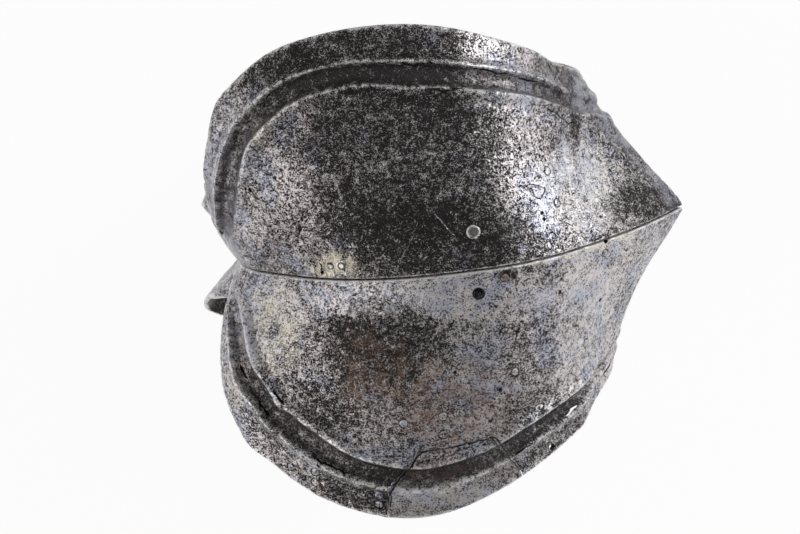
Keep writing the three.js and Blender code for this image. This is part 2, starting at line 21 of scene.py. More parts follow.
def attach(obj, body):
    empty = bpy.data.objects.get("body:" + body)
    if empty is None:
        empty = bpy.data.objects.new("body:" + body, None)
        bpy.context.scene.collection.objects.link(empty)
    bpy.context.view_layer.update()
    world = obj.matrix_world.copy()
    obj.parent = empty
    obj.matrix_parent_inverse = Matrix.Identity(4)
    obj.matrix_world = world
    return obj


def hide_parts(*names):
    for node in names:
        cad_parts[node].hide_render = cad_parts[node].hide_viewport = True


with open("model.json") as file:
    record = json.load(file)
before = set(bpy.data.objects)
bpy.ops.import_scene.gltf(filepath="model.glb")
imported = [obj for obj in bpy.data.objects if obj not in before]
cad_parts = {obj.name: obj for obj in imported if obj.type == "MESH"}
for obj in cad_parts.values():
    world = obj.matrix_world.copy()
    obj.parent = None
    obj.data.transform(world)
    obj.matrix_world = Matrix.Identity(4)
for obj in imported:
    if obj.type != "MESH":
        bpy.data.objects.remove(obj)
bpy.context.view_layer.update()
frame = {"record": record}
MM = 0.001

# %% [markdown]
# ## The camera
#
# The cop lies on its narrow side, which is slightly crowned: it has tipped and rolled by a
# degree or so until three points bear. The photograph looks along the direction in which the
# cop would lie if that side were flat, turned by seven degrees. A very long lens far away keeps
# the outline almost free of perspective. One pixel of the photograph is a third of a millimetre
# on the cop, so the camera's distance follows from the lens. The camera comes first because
# details are later placed by the pixel where they show.

# %% Set up the camera
PHOTO_WIDTH_PX = 800
PHOTO_HEIGHT_PX = 534
COP_MIDDLE_X_PX = 446.5
COP_MIDDLE_Y_PX = 264.5
PIXEL = 0.33 * MM
CAMERA_TURN = math.radians(-6.8)
REST_TIP = math.radians(1.401)
REST_ROLL = math.radians(1.101)
LENS = 1000
SENSOR = 36
SCALE_HEIGHT = 70 * MM
CLIP_END = 30


def placed(name, data):
    """A new object with this name and data, in the scene."""
    obj = bpy.data.objects.new(name, data)
    bpy.context.scene.collection.objects.link(obj)
    return obj


rest = Matrix.Rotation(-REST_ROLL, 3, "Y") @ Matrix.Rotation(-REST_TIP, 3, "X")
facing = rest @ Matrix.Rotation(CAMERA_TURN, 3, "Z")
right, upward, towards_camera = facing.col
camera = placed("camera", bpy.data.cameras.new("camera"))
bpy.context.scene.camera = camera
camera.data.lens = LENS
camera.data.sensor_width = SENSOR
camera.data.clip_end = CLIP_END


def at_pixel(x_px, y_px):
    """The point that shows at a pixel, in the plane in which a pixel has its size."""
    across = right * ((x_px - COP_MIDDLE_X_PX) * PIXEL)
    return Vector((0, 0, SCALE_HEIGHT)) + across + upward * ((COP_MIDDLE_Y_PX - y_px) * PIXEL)


camera_distance = PHOTO_WIDTH_PX * PIXEL * LENS / SENSOR
middle = at_pixel(PHOTO_WIDTH_PX / 2, PHOTO_HEIGHT_PX / 2)
camera.location = middle + towards_camera * camera_distance
camera.rotation_euler = facing.to_euler()
print("camera at, in m:", [round(v, 2) for v in camera.location])

# %% [markdown]
# ## The shape of the wall
#
# An armourer raises such a plate over stakes, and its form is simple to say: a plan curve, seen
# along the arm, from which the wall is drawn in towards each rim. A keel needs a wall that
# leans in on both sides of the medial line, a cleft one that leans out. So three tables make
# the surface: the plan, the draw and the free edge. They are the tables of the CAD part, as
# shares of its length, half width and wing height. Only the upper edge is up to a millimetre
# higher than there, just before the point, or the far rim would peek out beyond it.

# %% Sizes of the cop
UPPER, LOWER = 1, -1
COP_LENGTH = 148 * MM
HALF_WIDTH = 58 * MM
WING_HEIGHT = 84 * MM
WALL = 1.4 * MM
SEAM_GAP = 0.6 * MM
SEAM_LAP = 8.5 * MM
REAR_CLEARANCE = 0.9 * MM
NOSE_RADIUS = 8 * MM
POINT_BLUNT = 3 * MM
RIM_BAND = {UPPER: 12 * MM, LOWER: 11 * MM}
HOLLOW = {UPPER: 8.6 * MM, LOWER: 8 * MM}
CREST_RUN = 1.3 * MM
CREST_RISE = 1.8 * MM
HOLLOW_DEPTH = 1.7 * MM
BORDER_SHARE = 0.62
CENTRE_SHARE = 0.474
CENTRE_X = COP_LENGTH * CENTRE_SHARE
NOSE_SHARE = 0.58
NOSE_SLOPE_SHARE = 0.6
UNDER_WING_SHARE = 0.08
FLANK_SLOPE_SHARE = 0.231
STEP_SHARE = 0.004
EDGE_STRIP_SHARE = 0.04
EDGE_BLUR_SHARE = 0.03
BLUR_STEPS = (-1, -0.5, 0, 0.5, 1)
NOSE_RUN_SHARES = (0.7, 0.95)
BLUNT_RUN_SHARES = (0.85, 1)
print("cop in mm:", [round(v / MM, 1) for v in (COP_LENGTH, 2 * HALF_WIDTH, 2 * WING_HEIGHT)])

# %% [markdown]
# Every row of a table starts with the share of the way along it. The plan runs from the notch
# to the point and back on the far side, with a share of the length and of the half width. The
# draw has the slope and the bend of the wall, and then what the lower plate adds to each. A
# free edge has a share along the plan and a share of the wing height. On the far side the rows
# hold the height of both plates, and those of the border the width for both, upper one first.

# %% The plan and the draw
NEAR_PLAN_SHARES = [
    (0, 0, 0), (0.05, 0.012, 0.19), (0.1, 0.044, 0.354), (0.15, 0.089, 0.496),
    (0.22, 0.15, 0.67), (0.29, 0.223, 0.82), (0.405, 0.357, 0.965), (0.515, 0.49, 1),
    (0.595, 0.592, 0.985), (0.68, 0.69, 0.886), (0.79, 0.803, 0.658), (0.843, 0.854, 0.524),
    (0.909, 0.917, 0.329), (1, 1, 0),
]
FAR_PLAN_SHARES = [
    (0, 1, 0), (0.09, 0.917, 0.33), (0.157, 0.854, 0.524), (0.21, 0.8, 0.65),
    (0.32, 0.69, 0.86), (0.42, 0.582, 0.945), (0.53, 0.464, 0.965), (0.64, 0.316, 0.94),
    (0.76, 0.187, 0.82), (0.86, 0.079, 0.58), (0.93, 0.02, 0.3), (0.97, 0.004, 0.11), (1, 0, 0),
]
NEAR_DRAW_SHARES = [
    (0, -0.62, 0.86, 0, -0.2), (0.052, -0.66, 0.87, 0, -0.18), (0.064, -0.66, 0.84, 0, -0.15),
    (0.082, -0.63, 0.74, 0, -0.1), (0.102, -0.58, 0.61, 0, -0.05), (0.13, -0.49, 0.5, 0, 0),
    (0.194, -0.33, 0.344, 0, 0), (0.244, -0.22, 0.269, 0, 0), (0.37, -0.04, 0.164, 0, 0),
    (0.45, 0.02, 0.139, 0, 0), (0.556, 0.1, 0.091, 0, 0), (0.67, 0.22, 0.008, 0, 0),
    (0.74, 0.32, -0.084, 0.02, 0), (0.817, 0.45, -0.21, 0.06, 0), (0.906, 0.66, -0.36, 0.12, 0),
    (1, 0.85, -0.52, 0.2, 0),
]
FAR_DRAW_SHARES = [
    (0, 0.85, -0.52, 0.2, 0), (0.1, 0.62, -0.31, 0.12, 0), (0.2, 0.42, -0.16, 0.04, 0),
    (0.3, 0.27, -0.04, 0, 0), (0.4, FLANK_SLOPE_SHARE, 0, 0, 0),
    (0.62, FLANK_SLOPE_SHARE, 0, 0, 0), (0.74, 0.1, 0, 0, 0), (0.82, -0.14, 0, 0, 0),
    (0.88, -0.44, 0, -0.15, 0), (0.93, -0.78, 0, -0.33, 0), (0.965, -0.82, 0.3, -0.38, 0),
    (1, -0.62, 0.86, 0, -0.2),
]
print("rows of the plan and the draw:", len(NEAR_PLAN_SHARES), len(NEAR_DRAW_SHARES))

# %% The free edges and the border
UPPER_EDGE_SHARES = [
    (0, 0.011, 0.048), (0.04, 0.03, 0.16), (0.09, 0.0445, 0.25), (0.15, 0.055, 0.34),
    (0.22, 0.073, 0.5), (0.28, 0.1, 0.69), (0.325, 0.135, 0.8), (0.375, 0.19, 0.91),
    (0.42, 0.245, 0.958), (0.465, 0.308, 0.988), (0.505, 0.37, 0.995), (0.56, 0.45, 0.986),
    (0.63, 0.556, 0.948), (0.71, 0.67, 0.871), (0.765, 0.74, 0.818), (0.83, 0.817, 0.752),
    (0.91, 0.906, 0.668), (1, 1, 0.595),
]
LOWER_EDGE_SHARES = [
    (0, 0.011, 0.05), (0.04, 0.03, 0.12), (0.09, 0.045, 0.23), (0.15, 0.055, 0.36),
    (0.22, 0.068, 0.5), (0.28, 0.09, 0.63), (0.33, 0.13, 0.768), (0.375, 0.182, 0.872),
    (0.425, 0.26, 0.962), (0.47, 0.327, 0.993), (0.51, 0.378, 1), (0.565, 0.463, 0.975),
    (0.62, 0.54, 0.932), (0.675, 0.614, 0.879), (0.74, 0.7, 0.825), (0.81, 0.79, 0.775),
    (0.88, 0.87, 0.728), (0.935, 0.93, 0.66), (1, 1, 0.593),
]
FAR_EDGE_SHARES = [
    (0, 0.595, 0.593), (0.1, 0.6, 0.6), (0.6, 0.6, 0.6), (0.72, 0.55, 0.55),
    (0.82, 0.39, 0.41), (0.88, 0.28, 0.33), (0.915, 0.22, 0.25), (0.94, 0.195, 0.175),
    (0.97, 0.2, 0.14), (1, 0.225, 0.14), (1.035, 0.28, 0.18), (1.1, 0.32, 0.3),
]
BORDER_WIDTH_SHARES = [
    (0, 0.9, 1), (0.2, 0.92, 1), (0.27, 0.98, 1.16), (0.334, 0.97, 1.27), (0.4, 0.92, 1.13),
    (0.47, 0.93, 1.04), (0.54, 1.04, 0.98), (0.62, 0.98, 0.88), (0.7, 0.87, 0.9),
    (0.8, 0.8, 0.83), (0.87, 0.78, 0.75), (0.94, 0.8, 0.56), (1, 0.85, 0.55),
    (1.12, 0.85, 0.75), (1.3, 0.85, 0.85),
]
print("rows of the free edges:", len(UPPER_EDGE_SHARES), len(LOWER_EDGE_SHARES))

# %% [markdown]
# A smooth curve through a table must not swing past its rows, or the steel would ripple. The
# monotone cubic does that: where a column turns, its tangent is zero. The functions take whole
# arrays, because a plate has tens of thousands of points.

# %% A curve through a table
TINY = 1e-12


def row_at(rows, at):
    """The columns of a table at shares `at`, smooth between its rows."""
    rows = np.array(rows, float)
    knots, values = rows[:, 0], rows[:, 1:]
    secants = np.diff(values, axis=0) / np.diff(knots)[:, None]
    before, after = secants[:-1], secants[1:]
    spans = np.diff(knots)[:, None]
    mean = (spans[1:] * before + spans[:-1] * after) / (spans[1:] + spans[:-1])
    limit = 3 * np.minimum(np.abs(before), np.abs(after))
    middle = np.where(before * after > 0, np.clip(mean, -limit, limit), 0)
    tangents = np.vstack([secants[:1], middle, secants[-1:]])
    at = np.clip(at, knots[0], knots[-1])
    i = np.clip(np.searchsorted(knots, at) - 1, 0, len(knots) - 2)
    span = (knots[i + 1] - knots[i])[..., None]
    t = (at - knots[i])[..., None] / span
    return (
        (2 * t**3 - 3 * t**2 + 1) * values[i]
        + (t**3 - 2 * t**2 + t) * span * tangents[i]
        + (3 * t**2 - 2 * t**3) * values[i + 1]
        + (t**3 - t**2) * span * tangents[i + 1]
    )


def smooth(low, high, x):
    """From 0 to 1 while x goes from low to high."""
    t = np.clip((x - low) / (high - low), 0, 1)
    return t * t * (3 - 2 * t)


def unit(v):
    """Vectors of length one, in the directions of v."""
    return v / np.maximum(np.linalg.norm(v, axis=-1, keepdims=True), TINY)


print("widest part of the plan:", row_at(NEAR_PLAN_SHARES, np.array([0.515]))[0].round(3))

# %% [markdown]
# The plan places the wall at the medial line, and the draw moves it in or out as it rises. The
# nose is set back in a round and the ridge is blunted, because hammered steel has no sharp
# beak. A normal comes from two short steps on the surface and points away from the middle.

# %% The outer surface


def either_side(near_rows, far_rows, along):
    """Columns of the near table for shares up to 1 and past 2, of the far one between."""
    near = (along <= 1) | (along > 2)
    share = np.where(along > 2, along - 2, np.where(near, along, along - 1))
    near_columns, far_columns = row_at(near_rows, share), row_at(far_rows, share)
    return np.moveaxis(np.where(near[..., None], near_columns, far_columns), -1, 0), near


def outside(along, height, side):
    """Points of the outer surface as the cop is worn, at a height from the medial line."""
    (length, width), near = either_side(NEAR_PLAN_SHARES, FAR_PLAN_SHARES, along)
    slope, bend, below, below_bend = either_side(NEAR_DRAW_SHARES, FAR_DRAW_SHARES, along)[0]
    wide = width * HALF_WIDTH
    tall = np.minimum(height / (WING_HEIGHT * NOSE_SHARE), 1)
    round_nose = np.hypot(wide, NOSE_RADIUS * tall**2) - wide
    back = round_nose * NOSE_SLOPE_SHARE * smooth(*NOSE_RUN_SHARES, length)
    x = length * COP_LENGTH - back - CENTRE_X
    y = np.where(near, -wide, wide)
    rise = height / WING_HEIGHT
    lower = np.where(side < 0, 1, 0)
    draw = height * (slope + lower * below * (1 - tall) + (bend + lower * below_bend) * rise)
    blunt = POINT_BLUNT * smooth(*BLUNT_RUN_SHARES, length)
    draw = np.where(draw > 0, np.hypot(draw, blunt) - blunt, draw)
    keep = 1 - draw / np.hypot(x, y)
    return np.stack([CENTRE_X + x * keep, y * keep, side * height], -1)


def outward(along, height, side):
    """Unit normals of the outer surface."""
    here = outside(along, height, side)
    run = outside(along + STEP_SHARE, height, side) - outside(along - STEP_SHARE, height, side)
    rise = outside(along, height + STEP_SHARE * WING_HEIGHT, side) - here
    normal = unit(np.cross(run, rise))
    away = here - np.array([CENTRE_X, 0, 0])
    away[..., 2] = 0
    return normal * np.where((normal * away).sum(-1) < 0, -1, 1)[..., None]


# %% [markdown]
# A station is a place on the medial line, and its line goes down to there from the free edge.
# The lines lie slanting where the edge turns round the notch. An average over a short stretch
# takes the corners out of the edge.

# %% The free edge and its lines


def edge_at(station, side):
    """Share along and height of a plate's free edge on each station."""
    rows = UPPER_EDGE_SHARES if side == UPPER else LOWER_EDGE_SHARES
    blur = EDGE_BLUR_SHARE * np.clip(np.minimum(station, 1 - station) / EDGE_BLUR_SHARE / 2, 0, 1)
    near = sum(row_at(rows, station + blur * k) for k in BLUR_STEPS) / len(BLUR_STEPS)
    far = row_at(FAR_EDGE_SHARES, station - 1)[..., 0 if side == UPPER else 1]
    along = np.where(station <= 1, near[..., 0], station)
    return along, np.where(station <= 1, near[..., 1], far) * WING_HEIGHT


def on_line(station, side, height):
    """Share along where a station's line, from the edge to the seam, has this height."""
    edge_along, edge_height = edge_at(station, side)
    return edge_along + (station - edge_along) * (1 - height / edge_height)


def slant_at(station, side):
    """Square distance from the edge for each unit of height down a station's line."""
    along, height = edge_at(station, side)
    drop = height * EDGE_STRIP_SHARE
    below = height - drop
    down = outside(on_line(station, side, below), below, side) - outside(along, height, side)
    before, after = edge_at(station - STEP_SHARE, side), edge_at(station + STEP_SHARE, side)
    run = unit(outside(*after, side) - outside(*before, side))
    down = down - run * (down * run).sum(-1, keepdims=True)
    return np.linalg.norm(down, axis=-1) / drop


# %% [markdown]
# The cop is worn with its medial line level, but it lies on its narrow side, leaning on the keel
# and a flank. The CAD part was turned and moved to that place. The turn is known, and the move
# follows from one point that the record names: the face of the rivet in the closed lace hole.

# %% From worn to lying
CLOSED_HOLE_SHARES = (0.546, 0.155)
OPEN_HOLE_SHARES = (0.542, -0.09)
HEAD_PROUD = 0.15 * MM
lean = math.atan(FLANK_SLOPE_SHARE) - math.pi / 2
turn = np.array(rest @ Matrix.Rotation(lean, 3, "X"))


def seat(along, height_share):
    """Place and normal, as worn, for a share along and a signed height share."""
    side = LOWER if height_share < 0 else UPPER
    at = np.array([along]), np.array([abs(height_share) * WING_HEIGHT]), side
    return outside(*at)[0], outward(*at)[0]


place, normal = seat(*CLOSED_HOLE_SHARES)
face = next(m for m in frame["record"]["mounts"] if m["name"] == "lace_plug_face")["pos_m"]
shift = np.array(face) - turn @ (place + normal * HEAD_PROUD)


def lying(points):
    """The cop's points as it lies, from the same points as it is worn."""
    return points @ turn.T + shift


print("shift in mm:", (shift / MM).round(2))

# %% [markdown]
# ## Steel in nodes
#
# The finish is made of arithmetic on noise, and arithmetic is easier to read as Python than as
# a picture of wires. The class below wraps one output of a node. Adding or multiplying two of
# them adds a Math node, `node` makes any other, and `feed` fills the sockets of one that is
# there. The same class serves Geometry Nodes.

# %% A small class for node trees


class Link:
    """One output of a node. Arithmetic on it adds Math nodes to its tree."""

    def __init__(self, tree, socket=None):
        self.tree = tree
        self.socket = socket

    def feed(self, made, inputs):
        """Put values or links into the sockets of a node."""
        for name, value in inputs.items():
            if isinstance(value, Link):
                self.tree.links.new(value.socket, made.inputs[name])
            else:
                made.inputs[name].default_value = value

    def node(self, kind, settings=None, inputs=None, output=0):
        """A new node: its settings first, then values or links for its sockets."""
        made = self.tree.nodes.new(kind)
        for name, value in (settings or {}).items():
            setattr(made, name, value)
        self.feed(made, inputs or {})
        return Link(self.tree, made.outputs[output])

    def math(self, operation, first, second):
        """A Math node."""
        inputs = {0: first, 1: second}
        return self.node("ShaderNodeMath", {"operation": operation}, inputs)

    def vector(self, operation, first, second, output=0):
        """A Vector Math node. Its output 1 is the number that some operations give."""
        inputs = {0: first, 1: second}
        return self.node("ShaderNodeVectorMath", {"operation": operation}, inputs, output)

    def __add__(self, other):
        return self.math("ADD", self, other)

    def __sub__(self, other):
        return self.math("SUBTRACT", self, other)

    def __rsub__(self, other):
        return self.math("SUBTRACT", other, self)

    def __mul__(self, other):
        return self.math("MULTIPLY", self, other)

    def __rtruediv__(self, other):
        return self.math("DIVIDE", other, self)

    __radd__ = __add__
    __rmul__ = __mul__

    def ramp(self, low, high):
        """From 0 to 1 while this value goes from low to high, smoothly."""
        settings = {"interpolation_type": "SMOOTHSTEP"}
        inputs = {"Value": self, "From Min": low, "From Max": high}
        return self.node("ShaderNodeMapRange", settings, inputs)


def mix_colour(share, first, second):
    """The first colour where share is 0, and the second one where it is 1."""
    settings = {"data_type": "RGBA", "blend_type": "MIX"}
    return share.node("ShaderNodeMix", settings, {0: share, 6: first, 7: second}, 2)


# %% [markdown]
# Four hundred years have eaten the polish into a coral of small pits. What is left of the old
# surface is a light, bluish grey and the pits are filled with dark brown patina. Three noises and
# a cell pattern decide which of the two a point is. A slow noise and soft patches shift that
# decision and tone the steel, so that one plate is darker by the ridge; the patches are partly the
# steel's own tone and partly painted shade and painted highlights. Crests and edges carry a wear
# value and are rubbed bright, and on the crest lines and the keel that is also a painted
# highlight. The hollow of the border carries a `shade` value.

# %% Colours and sizes of the pitted steel
# Wear on crests, edges and the keel: rubbed steel, and on the crest lines and the keel also a
# painted highlight.
WEAR_AND_HIGHLIGHT = "wear"
SHADED = "shade"
DARK_PATINA = (0.026, 0.0175, 0.0165, 1)
DEEP_PATINA = (0.0085, 0.006, 0.0058, 1)
LIGHT_STEEL = (0.68, 0.635, 0.64, 1)
# Bluish steel is the steel's own tint, and where it is laid on as a patch by the ridge or an edge
# it is a painted reflection.
BLUE_STEEL_AND_PAINTED_REFLECTION = (0.52, 0.53, 0.62, 1)
RUST = (0.24, 0.15, 0.095, 1)
HOLLOW_BROWN = (0.072, 0.059, 0.064, 1)
# Smooth grey is a painted sheen, laid along the edges where the steel turns away.
PAINTED_SHEEN_GREY = (0.32, 0.32, 0.365, 1)
SMOOTH_BROWN = (0.1, 0.085, 0.088, 1)
# Cream is a light cream patch in one place, and elsewhere a painted warm highlight.
CREAM_AND_PAINTED_HIGHLIGHT = (0.8, 0.74, 0.62, 1)
# Bare steel is rubbed steel, and in some patches a painted highlight.
BARE_STEEL_AND_HIGHLIGHT = (0.82, 0.8, 0.8, 1)
MEND_GREY = (0.56, 0.52, 0.51, 1)
RIVET_GREY = (0.58, 0.55, 0.54, 1)
PLUG_GREY = (0.5, 0.48, 0.48, 1)
SCRATCH_GREY = (0.42, 0.42, 0.44, 1)
INNER_BROWN = (0.2, 0.175, 0.16, 1)
BROKEN_BROWN = (0.06, 0.048, 0.042, 1)
GRAIN_SIZE = 0.38 * MM
CORAL_SIZE = 0.7 * MM
PIT_CELL_SIZE = 0.95 * MM
PEBBLE_SIZE = 2.3 * MM
BLOTCH_SIZE = 5.5 * MM
HUE_SIZE = 13 * MM
SLOW_SIZE = 24 * MM
RELIEF_DEPTH = 0.2 * MM
RELIEF_STRENGTH = 0.9
DULL_SHARE = 0.24
PATCH_SOFT_SHARE = 0.7


def patch(position, x_px, y_px, wide_px, tall_px):
    """1 in an upright ellipse of the photograph, fading out over its soft rim."""
    away = position.vector("SUBTRACT", position, at_pixel(x_px, y_px))
    across = position.vector("DOT_PRODUCT", away, right / (wide_px * PIXEL), 1)
    down = position.vector("DOT_PRODUCT", away, upward / (tall_px * PIXEL), 1)
    return 1 - (across * across + down * down).ramp(1 - PATCH_SOFT_SHARE, 1 + PATCH_SOFT_SHARE)


def dulled(colour):
    """The same steel where it is dull and dark."""
    return tuple(c * DULL_SHARE for c in colour[:3]) + (1,)


# %% [markdown]
# The photograph shows an even, pale sheen where the steel turns away from the eye. Worn metal
# does that at grazing angles, so a clear coat is laid on by Layer Weight there and nowhere else.
# Along some edges the colour also carries a painted sheen.
# The pits are real dents too, and the finest of them are left to the bump. The spans are the
# values between which a mask fades, and they and the weights in the sums were set one by one.

# %% The pitted steel
SPECULAR = 0.32
COAT_ROUGHNESS = 0.3
COAT_SHARE = 0.9
GRAZING_SPAN = (0.45, 0.8)
CLEAN_SPAN = (-0.022, 0.044)
DEEP_SPAN = (-0.14, 0.02)
TONED_SPAN = (-2.1, 1.9)
BLUE_SPAN = (0.5, 0.62)
RAGGED_SPAN = (-0.35, 0.6)
HOLLOW_SPAN = (0.3, 1)
RUBBED_SPAN = (0.4, 1.15)


def pitted_steel(name, light, pitting, tones_and_light=(), stains_and_light=(), seed=0):
    """Worn steel, with patches that change its tone and patches of other colours, among them
    painted shade, painted highlights, a painted sheen and painted reflections.
    """
    material = bpy.data.materials.new(name)
    material.use_nodes = True
    start = Link(material.node_tree)
    position = start.node("ShaderNodeTexCoord", output="Object")
    moved = start.node("ShaderNodeMapping", None, {"Vector": position, "Location": (seed, 0, 0)})

    def noise(size, detail, roughness, distortion=0.0):
        inputs = {
            "Vector": moved, "Scale": 1 / size, "Detail": detail,
            "Roughness": roughness, "Distortion": distortion,
        }
        return start.node("ShaderNodeTexNoise", None, inputs)

    coral = noise(CORAL_SIZE, 3, 0.75) - 0.5
    grain = noise(GRAIN_SIZE, 2, 0.7) - 0.5
    pebble = noise(PEBBLE_SIZE, 3, 0.7, 0.4) - 0.5
    blotch = noise(BLOTCH_SIZE, 5, 0.7, 0.5) - 0.5
    slow = noise(SLOW_SIZE, 4, 0.6, 0.5) - 0.5
    hue = noise(HUE_SIZE, 4, 0.6, 0.3)
    cells = {"Vector": moved, "Scale": 1 / PIT_CELL_SIZE, "Randomness": 1}
    pits = start.node("ShaderNodeTexVoronoi", {"feature": "F1"}, cells) - 0.5
    rubbed_and_lit, shaded = (
        start.node("ShaderNodeAttribute", {"attribute_name": title}, output="Fac")
        for title in (WEAR_AND_HIGHLIGHT, SHADED)
    )

    # Tone patches are partly the steel's own tone and partly painted shade and painted highlights.
    tone = slow * 3.5 + blotch * 2.2 + rubbed_and_lit * 0.9 - shaded * 0.8 - pitting
    for *ellipse, change in tones_and_light:
        tone = tone + patch(position, *ellipse) * change
    speckle = coral * 0.75 + grain * 0.9 + pebble * 0.5 + pits * 0.22
    clean = (speckle + tone * 0.05).ramp(*CLEAN_SPAN)
    deep = (coral * 0.8 + blotch + tone * 0.1).ramp(*DEEP_SPAN)
    toned = (tone + grain * 8 + pebble * 5).ramp(*TONED_SPAN)

    patina = mix_colour(deep, DEEP_PATINA, DARK_PATINA)
    greyish, bluish = (mix_colour(toned, dulled(c), c) for c in (light, BLUE_STEEL_AND_PAINTED_REFLECTION))
    bright = mix_colour((hue + tone * 0.03).ramp(*BLUE_SPAN), greyish, bluish)
    base = mix_colour(clean, patina, bright)
    ragged = (blotch * 3 + grain * 2).ramp(*RAGGED_SPAN)
    # Stains: rust, patina and cream patches, and also painted highlights, a painted sheen and
    # painted reflections.
    for colour, ellipses in stains_and_light:
        for *ellipse, share in ellipses:
            base = mix_colour(patch(position, *ellipse) * ragged * share, base, colour)
    brown = shaded * (coral + grain + 0.6).ramp(*HOLLOW_SPAN) * 0.9
    base = mix_colour(brown, base, HOLLOW_BROWN)
    # Crests, edges and the keel are rubbed bright, partly as a painted highlight.
    bare_and_highlight = (rubbed_and_lit + grain * 3 + pebble * 3).ramp(*RUBBED_SPAN) * 0.85
    base = mix_colour(bare_and_highlight, base, BARE_STEEL_AND_HIGHLIGHT)

    height = clean * 0.6 + grain * 0.5 + coral * 0.5
    relief = {"Height": height, "Distance": RELIEF_DEPTH, "Strength": RELIEF_STRENGTH}
    grazing = start.node("ShaderNodeLayerWeight", None, {"Blend": 0.5}, "Facing")
    start.feed(material.node_tree.nodes["Principled BSDF"], {
        "Base Color": base,
        "Roughness": 0.6 - clean * 0.22 - rubbed_and_lit * 0.06,
        "Metallic": clean * 0.4 + 0.3,
        "Specular IOR Level": SPECULAR,
        "Coat Weight": grazing.ramp(*GRAZING_SPAN) * COAT_SHARE,
        "Coat Roughness": COAT_ROUGHNESS,
        "Normal": start.node("ShaderNodeBump", None, relief),
    })
    print(name, "has", len(material.node_tree.nodes), "nodes")
    return material


# %% [markdown]
# The patches below follow what the photograph shows: the dark fields by the ridge and the light
# around the point, which are partly the steel's own tone and partly painted shade and painted
# highlights; cream patches, most of them painted warm highlights; bluish patches by the ridge and
# the edges and smooth grey ones along the edges, which are painted reflections and a painted
# sheen; bare steel that is a painted highlight; and rust by the mend. Each is an upright ellipse:
# the pixel of its middle, its half width and half height in pixels, and then the change of tone
# or, under its colour, the share of that colour.

# %% Steel of the upper plate
# Tone of the upper plate, partly its own and partly painted light: painted shade in the dark middle
# by the ridge, painted highlights at (575, 195) and round the point with thin painted streaks of
# glare beside them, and a painted sheen by the left edge.
UPPER_TONES_AND_LIGHT_PX = [
    (405, 160, 100, 100, -1.2), (430, 245, 110, 40, -1), (575, 195, 42, 50, 1.5),
    (535, 150, 34, 76, 0.9), (292, 225, 50, 60, 0.6), (340, 54, 120, 36, -1),
    (228, 160, 24, 90, 0.8), (240, 240, 24, 30, 0.8), (500, 75, 56, 34, 1.2),
    (565, 75, 34, 26, -1.3), (640, 200, 40, 14, -1.2), (282, 66, 44, 26, -0.6),
    (575, 134, 5, 30, -1), (584, 140, 5, 32, 0.8), (556, 158, 5, 30, -0.7),
]
UPPER_STAINS_AND_LIGHT_PX = [
    # A painted reflection along the left edge.
    (BLUE_STEEL_AND_PAINTED_REFLECTION, [(222, 200, 30, 110, 0.5)]),
    # A light cream patch at (264, 138), and a painted warm highlight by the ridge at (334, 266).
    (CREAM_AND_PAINTED_HIGHLIGHT, [(264, 138, 10, 20, 0.6), (334, 266, 24, 14, 1.0), (328, 268, 13, 9, 1.6)]),
    # A painted highlight on the lit part by the point.
    (BARE_STEEL_AND_HIGHLIGHT, [(572, 192, 40, 44, 0.75)]),
    (SMOOTH_BROWN, [(548, 66, 18, 24, 0.9), (560, 95, 26, 16, 0.9)]),
    # A painted sheen along the right and the left edge.
    (PAINTED_SHEEN_GREY, [
        (588, 86, 22, 26, 1.7), (606, 110, 17, 19, 1.6), (624, 134, 15, 17, 1.4),
        (641, 155, 13, 15, 1.2), (657, 174, 12, 14, 1.1), (672, 194, 10, 12, 1),
        (205, 205, 16, 24, 1.6), (225, 236, 14, 20, 1.6), (240, 256, 12, 10, 1.4),
    ]),
]
upper_steel = pitted_steel("upper_steel", LIGHT_STEEL, 0.3, UPPER_TONES_AND_LIGHT_PX, UPPER_STAINS_AND_LIGHT_PX)

# %% Steel of the lower plate
# Tone of the lower plate, partly its own and partly painted light: a painted reflection in a strip
# below the ridge, painted highlights at the left (268, 322) and along the right, and darker in the
# middle and towards the bottom, partly as painted shade.
LOWER_TONES_AND_LIGHT_PX = [
    (430, 298, 150, 24, 1.2), (385, 345, 60, 45, -1.6), (268, 322, 34, 46, 1.3),
    (590, 340, 34, 80, 1.2), (460, 350, 50, 60, 0.5), (610, 250, 60, 40, 1.2),
    (236, 372, 20, 60, 0.9), (474, 436, 44, 26, 0.7), (320, 452, 40, 22, 0.4),
    (282, 395, 24, 30, 0.4), (560, 425, 64, 40, -0.6), (375, 490, 60, 24, -1.1),
    (330, 405, 40, 30, -0.7),
]
LOWER_STAINS_AND_LIGHT_PX = [
    # A painted warm highlight at the left of the lower plate.
    (CREAM_AND_PAINTED_HIGHLIGHT, [(272, 330, 30, 40, 0.8)]),
    # Painted reflections below the ridge and at the left edge.
    (BLUE_STEEL_AND_PAINTED_REFLECTION, [(225, 300, 34, 44, 0.6), (375, 296, 60, 15, 0.8), (560, 300, 50, 18, 0.5)]),
    # A painted highlight in a strip along the medial line.
    (CREAM_AND_PAINTED_HIGHLIGHT, [
        (530, 262, 18, 4, 1.5), (560, 254, 18, 5, 1.5), (590, 246, 18, 5, 1.4),
        (620, 236, 15, 5, 1.1),
    ]),
    (DARK_PATINA, [(507, 275, 9, 6, 2)]),
    (RUST, [(455, 405, 60, 46, 0.6), (372, 370, 36, 40, 0.5)]),
]
lower_steel = pitted_steel(
    "lower_steel", LIGHT_STEEL, 0, LOWER_TONES_AND_LIGHT_PX, LOWER_STAINS_AND_LIGHT_PX, seed=1.7
)

